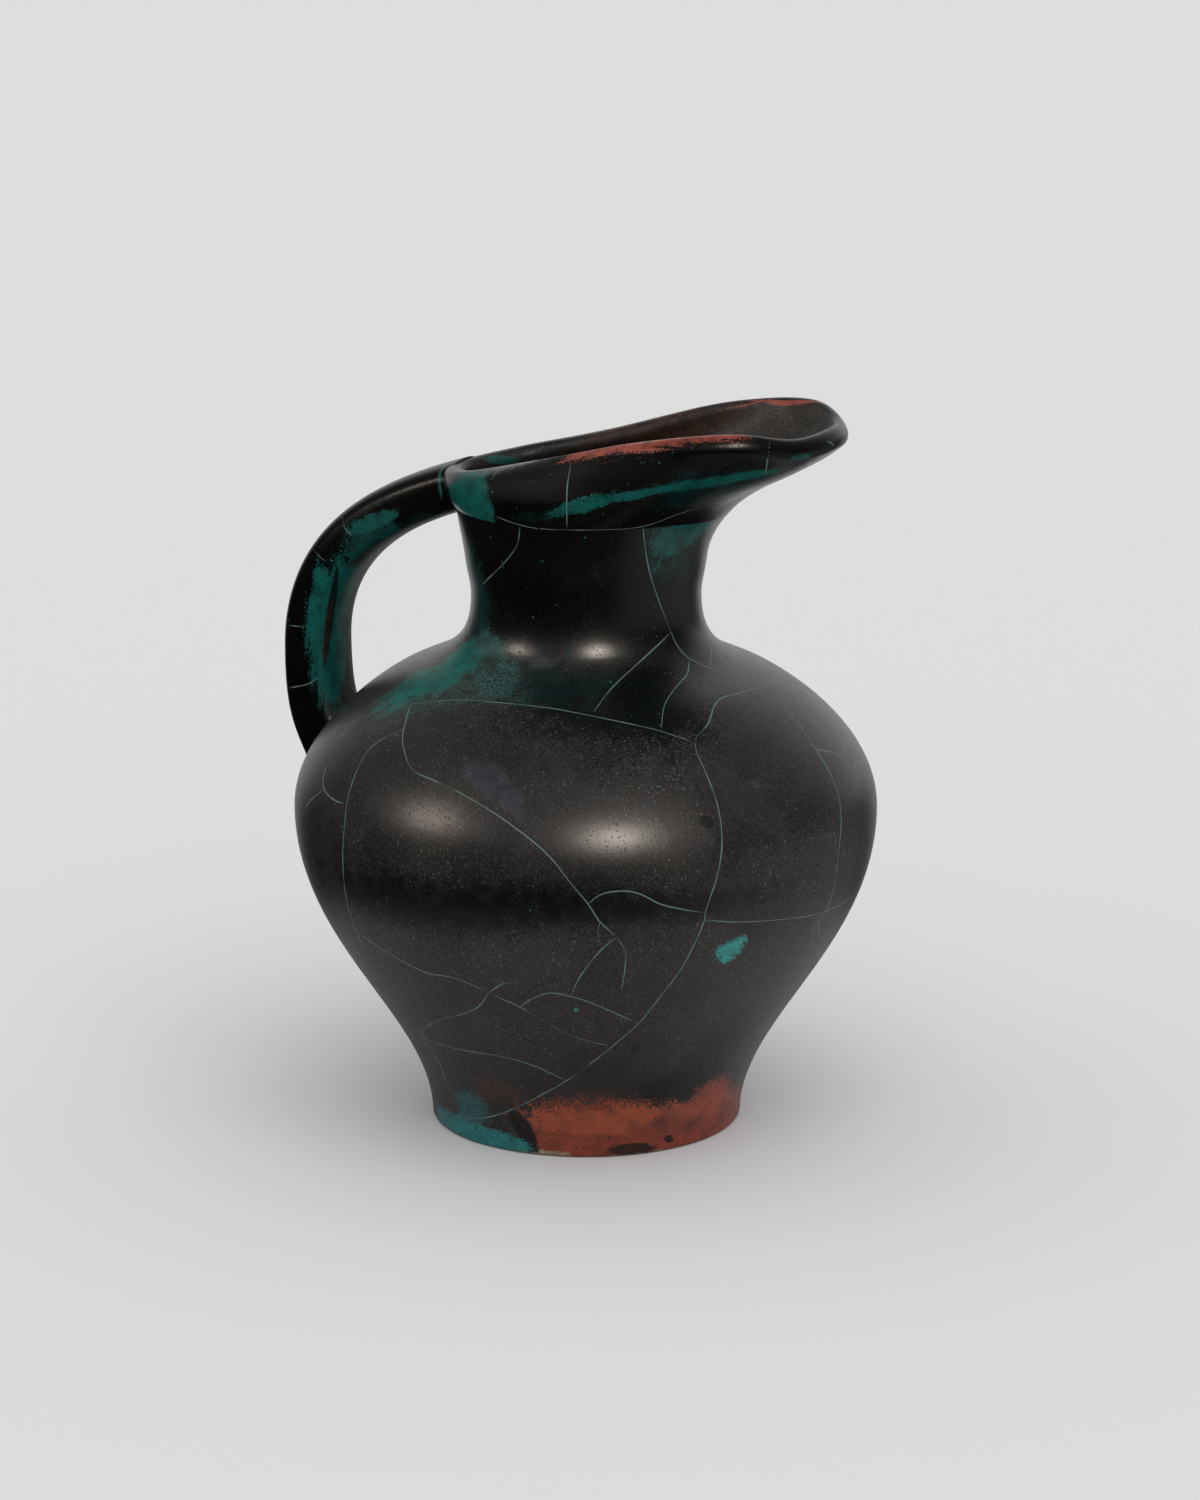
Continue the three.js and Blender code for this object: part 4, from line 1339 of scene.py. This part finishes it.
@dataclass
class Studio:
    """A plain pale floor, soft light all round and three lamps."""

    view: View
    floor_size: float = 40
    floor_tone: Colour = (0.785, 0.785, 0.79)
    near_floor: float = 0.14
    far_floor: float = 0.23
    back_floor: tuple[float, float] = (-0.94, -0.68)
    side_floor: tuple[float, float] = (0.5, 0.97)
    side_turn: float = 12
    side_seen: float = 0.42
    dark_floor: Colour = (0.015, 0.015, 0.014)
    sky_light: float = 0.74
    sky_seen: float = 0.71
    room_turn: float = -78
    room_low: float = 0.025
    room_high: float = 0.16
    room_rise: tuple[float, float] = (0.1, 0.6)
    wall_seen: float = 0.8
    wall_edge: tuple[float, float] = (-0.4, -0.97)
    floor_gloss: float = 0.5
    lamp_colour: Colour = (1, 0.88, 0.78)
    left_lamp: Lamp = Lamp(-136.5, 29, 0.8, 15, True)
    right_lamp: Lamp = Lamp(-54, 31, 2, 14, True)
    soft_lamp: Lamp = Lamp(-50, 52, 0.75, 55, False)

    def build(self) -> None:
        """Adds the camera, the floor, the world and the lamps."""
        self.view.add_camera()
        deselect_all()
        bpy.ops.mesh.primitive_plane_add(size=self.floor_size)
        floor = bpy.context.object
        floor.name = "studio_floor"
        floor.data.materials.append(self.floor_material())
        self.light_world()
        for name, lamp in (("left_lamp", self.left_lamp), ("right_lamp", self.right_lamp), ("soft_lamp", self.soft_lamp)):
            self.add_lamp(name, lamp)
        bpy.context.scene.view_settings.view_transform = "Standard"

    def floor_material(self) -> bpy.types.Material:
        """A pale matt floor, whose mirror image in the glaze ends where a plinth would end."""
        sheet = NodeSheet("studio floor")
        pale = sheet.node("ShaderNodeBsdfDiffuse", {}, {"Color": self.floor_tone})
        dark = sheet.node("ShaderNodeBsdfDiffuse", {}, {"Color": self.dark_floor})
        place = sheet.node("ShaderNodeTexCoord", {}, {}).outputs["Object"]
        reach = Signal(sheet, sheet.vector("LENGTH", {0: place}).outputs["Value"])
        glossy = Signal(sheet, sheet.node("ShaderNodeLightPath", {}, {}).outputs["Is Glossy Ray"])
        towards = tuple(self.view.towards)
        away = sheet.vector("NORMALIZE", {0: place}).outputs[0]
        front = Signal(sheet, sheet.vector("DOT_PRODUCT", {0: away, 1: towards}).outputs["Value"])
        near = 1 - (1 - reach.ramp(self.near_floor, self.far_floor)) * self.floor_gloss
        turn = math.radians(self.side_turn)
        aside = sheet.vector("DOT_PRODUCT", {0: away, 1: (math.cos(turn), math.sin(turn), 0)})
        side = Signal(sheet, aside.outputs["Value"]).ramp(*self.side_floor)
        share = near * front.ramp(*self.back_floor) * (1 - side * self.side_seen) * glossy
        shader = sheet.node("ShaderNodeMixShader", {}, {0: share, 1: pale.outputs[0], 2: dark.outputs[0]})
        sheet.node("ShaderNodeOutputMaterial", {}, {"Surface": shader.outputs[0]})
        return sheet.material

    def light_world(self) -> None:
        """Lights the jug softly from all round, and shows a pale room to camera and gloss."""
        world = bpy.data.worlds.new("studio")
        bpy.context.scene.world = world
        world.use_nodes = True
        sheet = NodeSheet("world sketch")
        bpy.data.materials.remove(sheet.material)
        sheet.tree = world.node_tree
        sheet.tree.nodes.clear()
        path = sheet.node("ShaderNodeLightPath", {}, {}).outputs
        glossy = Signal(sheet, path["Is Glossy Ray"])
        seen = Signal(sheet, path["Is Camera Ray"]) | Signal(sheet, path["Is Transmission Ray"])
        direction = sheet.node("ShaderNodeTexCoord", {}, {}).outputs["Generated"]
        turn = math.radians(self.room_turn)
        middle = (math.cos(turn), math.sin(turn), 0)
        front = Signal(sheet, sheet.vector("DOT_PRODUCT", {0: direction, 1: middle}).outputs["Value"])
        up = Signal(sheet, sheet.node("ShaderNodeSeparateXYZ", {}, {0: direction}).outputs["Z"])
        room = self.room_low + up.ramp(*self.room_rise) * (self.room_high - self.room_low)
        wall = front.ramp(*self.wall_edge)
        mirrored = room + wall * (self.wall_seen - room)
        strength = self.sky_light + seen * (self.sky_seen - self.sky_light)
        strength = strength + glossy * (mirrored - self.sky_light)
        shader = sheet.node("ShaderNodeBackground", {}, {"Color": (1.0, 1.0, 1.0), "Strength": strength})
        sheet.node("ShaderNodeOutputWorld", {}, {"Surface": shader.outputs[0]})

    def add_lamp(self, name: str, lamp: Lamp) -> None:
        """Adds one lamp, which shows in the gloss alone or lights alone."""
        angles = Euler((math.pi / 2 - math.radians(lamp.rise), 0, math.pi / 2 + math.radians(lamp.turn)))
        bpy.ops.object.light_add(type="SUN", rotation=angles)
        light = bpy.context.object
        light.name = name
        light.data.energy = lamp.strength
        light.data.angle = math.radians(lamp.spread)
        light.data.color = self.lamp_colour if lamp.mirrored else (1, 1, 1)
        light.visible_diffuse = not lamp.mirrored
        light.visible_glossy = lamp.mirrored


GLOSS = {"spout_collar": 0.26, "lip_coil": 0.3, "handle": 0.17}
PATCHES = {
    "foot_slab": [*BellyPatch],
    "body": [*BellyPatch, *NeckPatch],
    "neck": [*BellyPatch, *NeckPatch],
    "spout_collar": [*CollarPatch],
    "lip_coil": [*CollarPatch],
    "handle": [*HandlePatch],
}


def dress(piece: bpy.types.Object, node: str, view: View, skin: Skin) -> None:
    """Gives a piece its glaze, with the patches that reach it."""
    patches = [member.value for member in PATCHES[node]]
    folded = node in ("body", "foot_slab", "neck")
    clay_top = 0.4 * MM if node == "foot_slab" else None
    glaze = Glaze(f"{piece.name} glaze", patches, skin, view, Skin(piece), folded, clay_top)
    glaze.gloss = GLOSS.get(node, glaze.gloss)
    if node == "handle":
        glaze.black_heights = (60 * MM, 80 * MM)
    piece.data.materials.append(glaze.build())


def main() -> None:
    """Builds the jug and its studio, and reports every piece."""
    form = TurnedForm()
    mouth = MouthForm(form)
    mouth.lay_out()
    view = View()
    built = {
        "foot_slab": FootSlab(form).build(),
        "body": BodyWall(form).build(),
        "neck": mouth.build("neck", "neck_wall"),
        "spout_collar": mouth.build("spout_collar", "collar"),
        "lip_coil": mouth.build("lip_coil", "rolled_lip"),
    }
    built["handle"] = StrapHandle(form, mouth).build(Skin(*built.values()))
    for piece in built.values():
        for vertex in piece.data.vertices:
            vertex.co = by_hand(vertex.co)
    skin = Skin(*built.values())
    walls = Skin(*[piece for node, piece in built.items() if node != "handle"])
    for node, piece in built.items():
        dress(piece, node, view, skin)
        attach(piece, "root")
        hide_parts(node)
        LOG.info("%s: %d faces", piece.name, len(piece.data.polygons))
    crazing = Crazing(view, skin, walls).build()
    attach(crazing, "root")
    LOG.info("%s: %d faces", crazing.name, len(crazing.data.polygons))
    Studio(view).build()


if __name__ == "__main__":
    logging.basicConfig(level=logging.INFO, format="%(name)s: %(message)s")
    main()
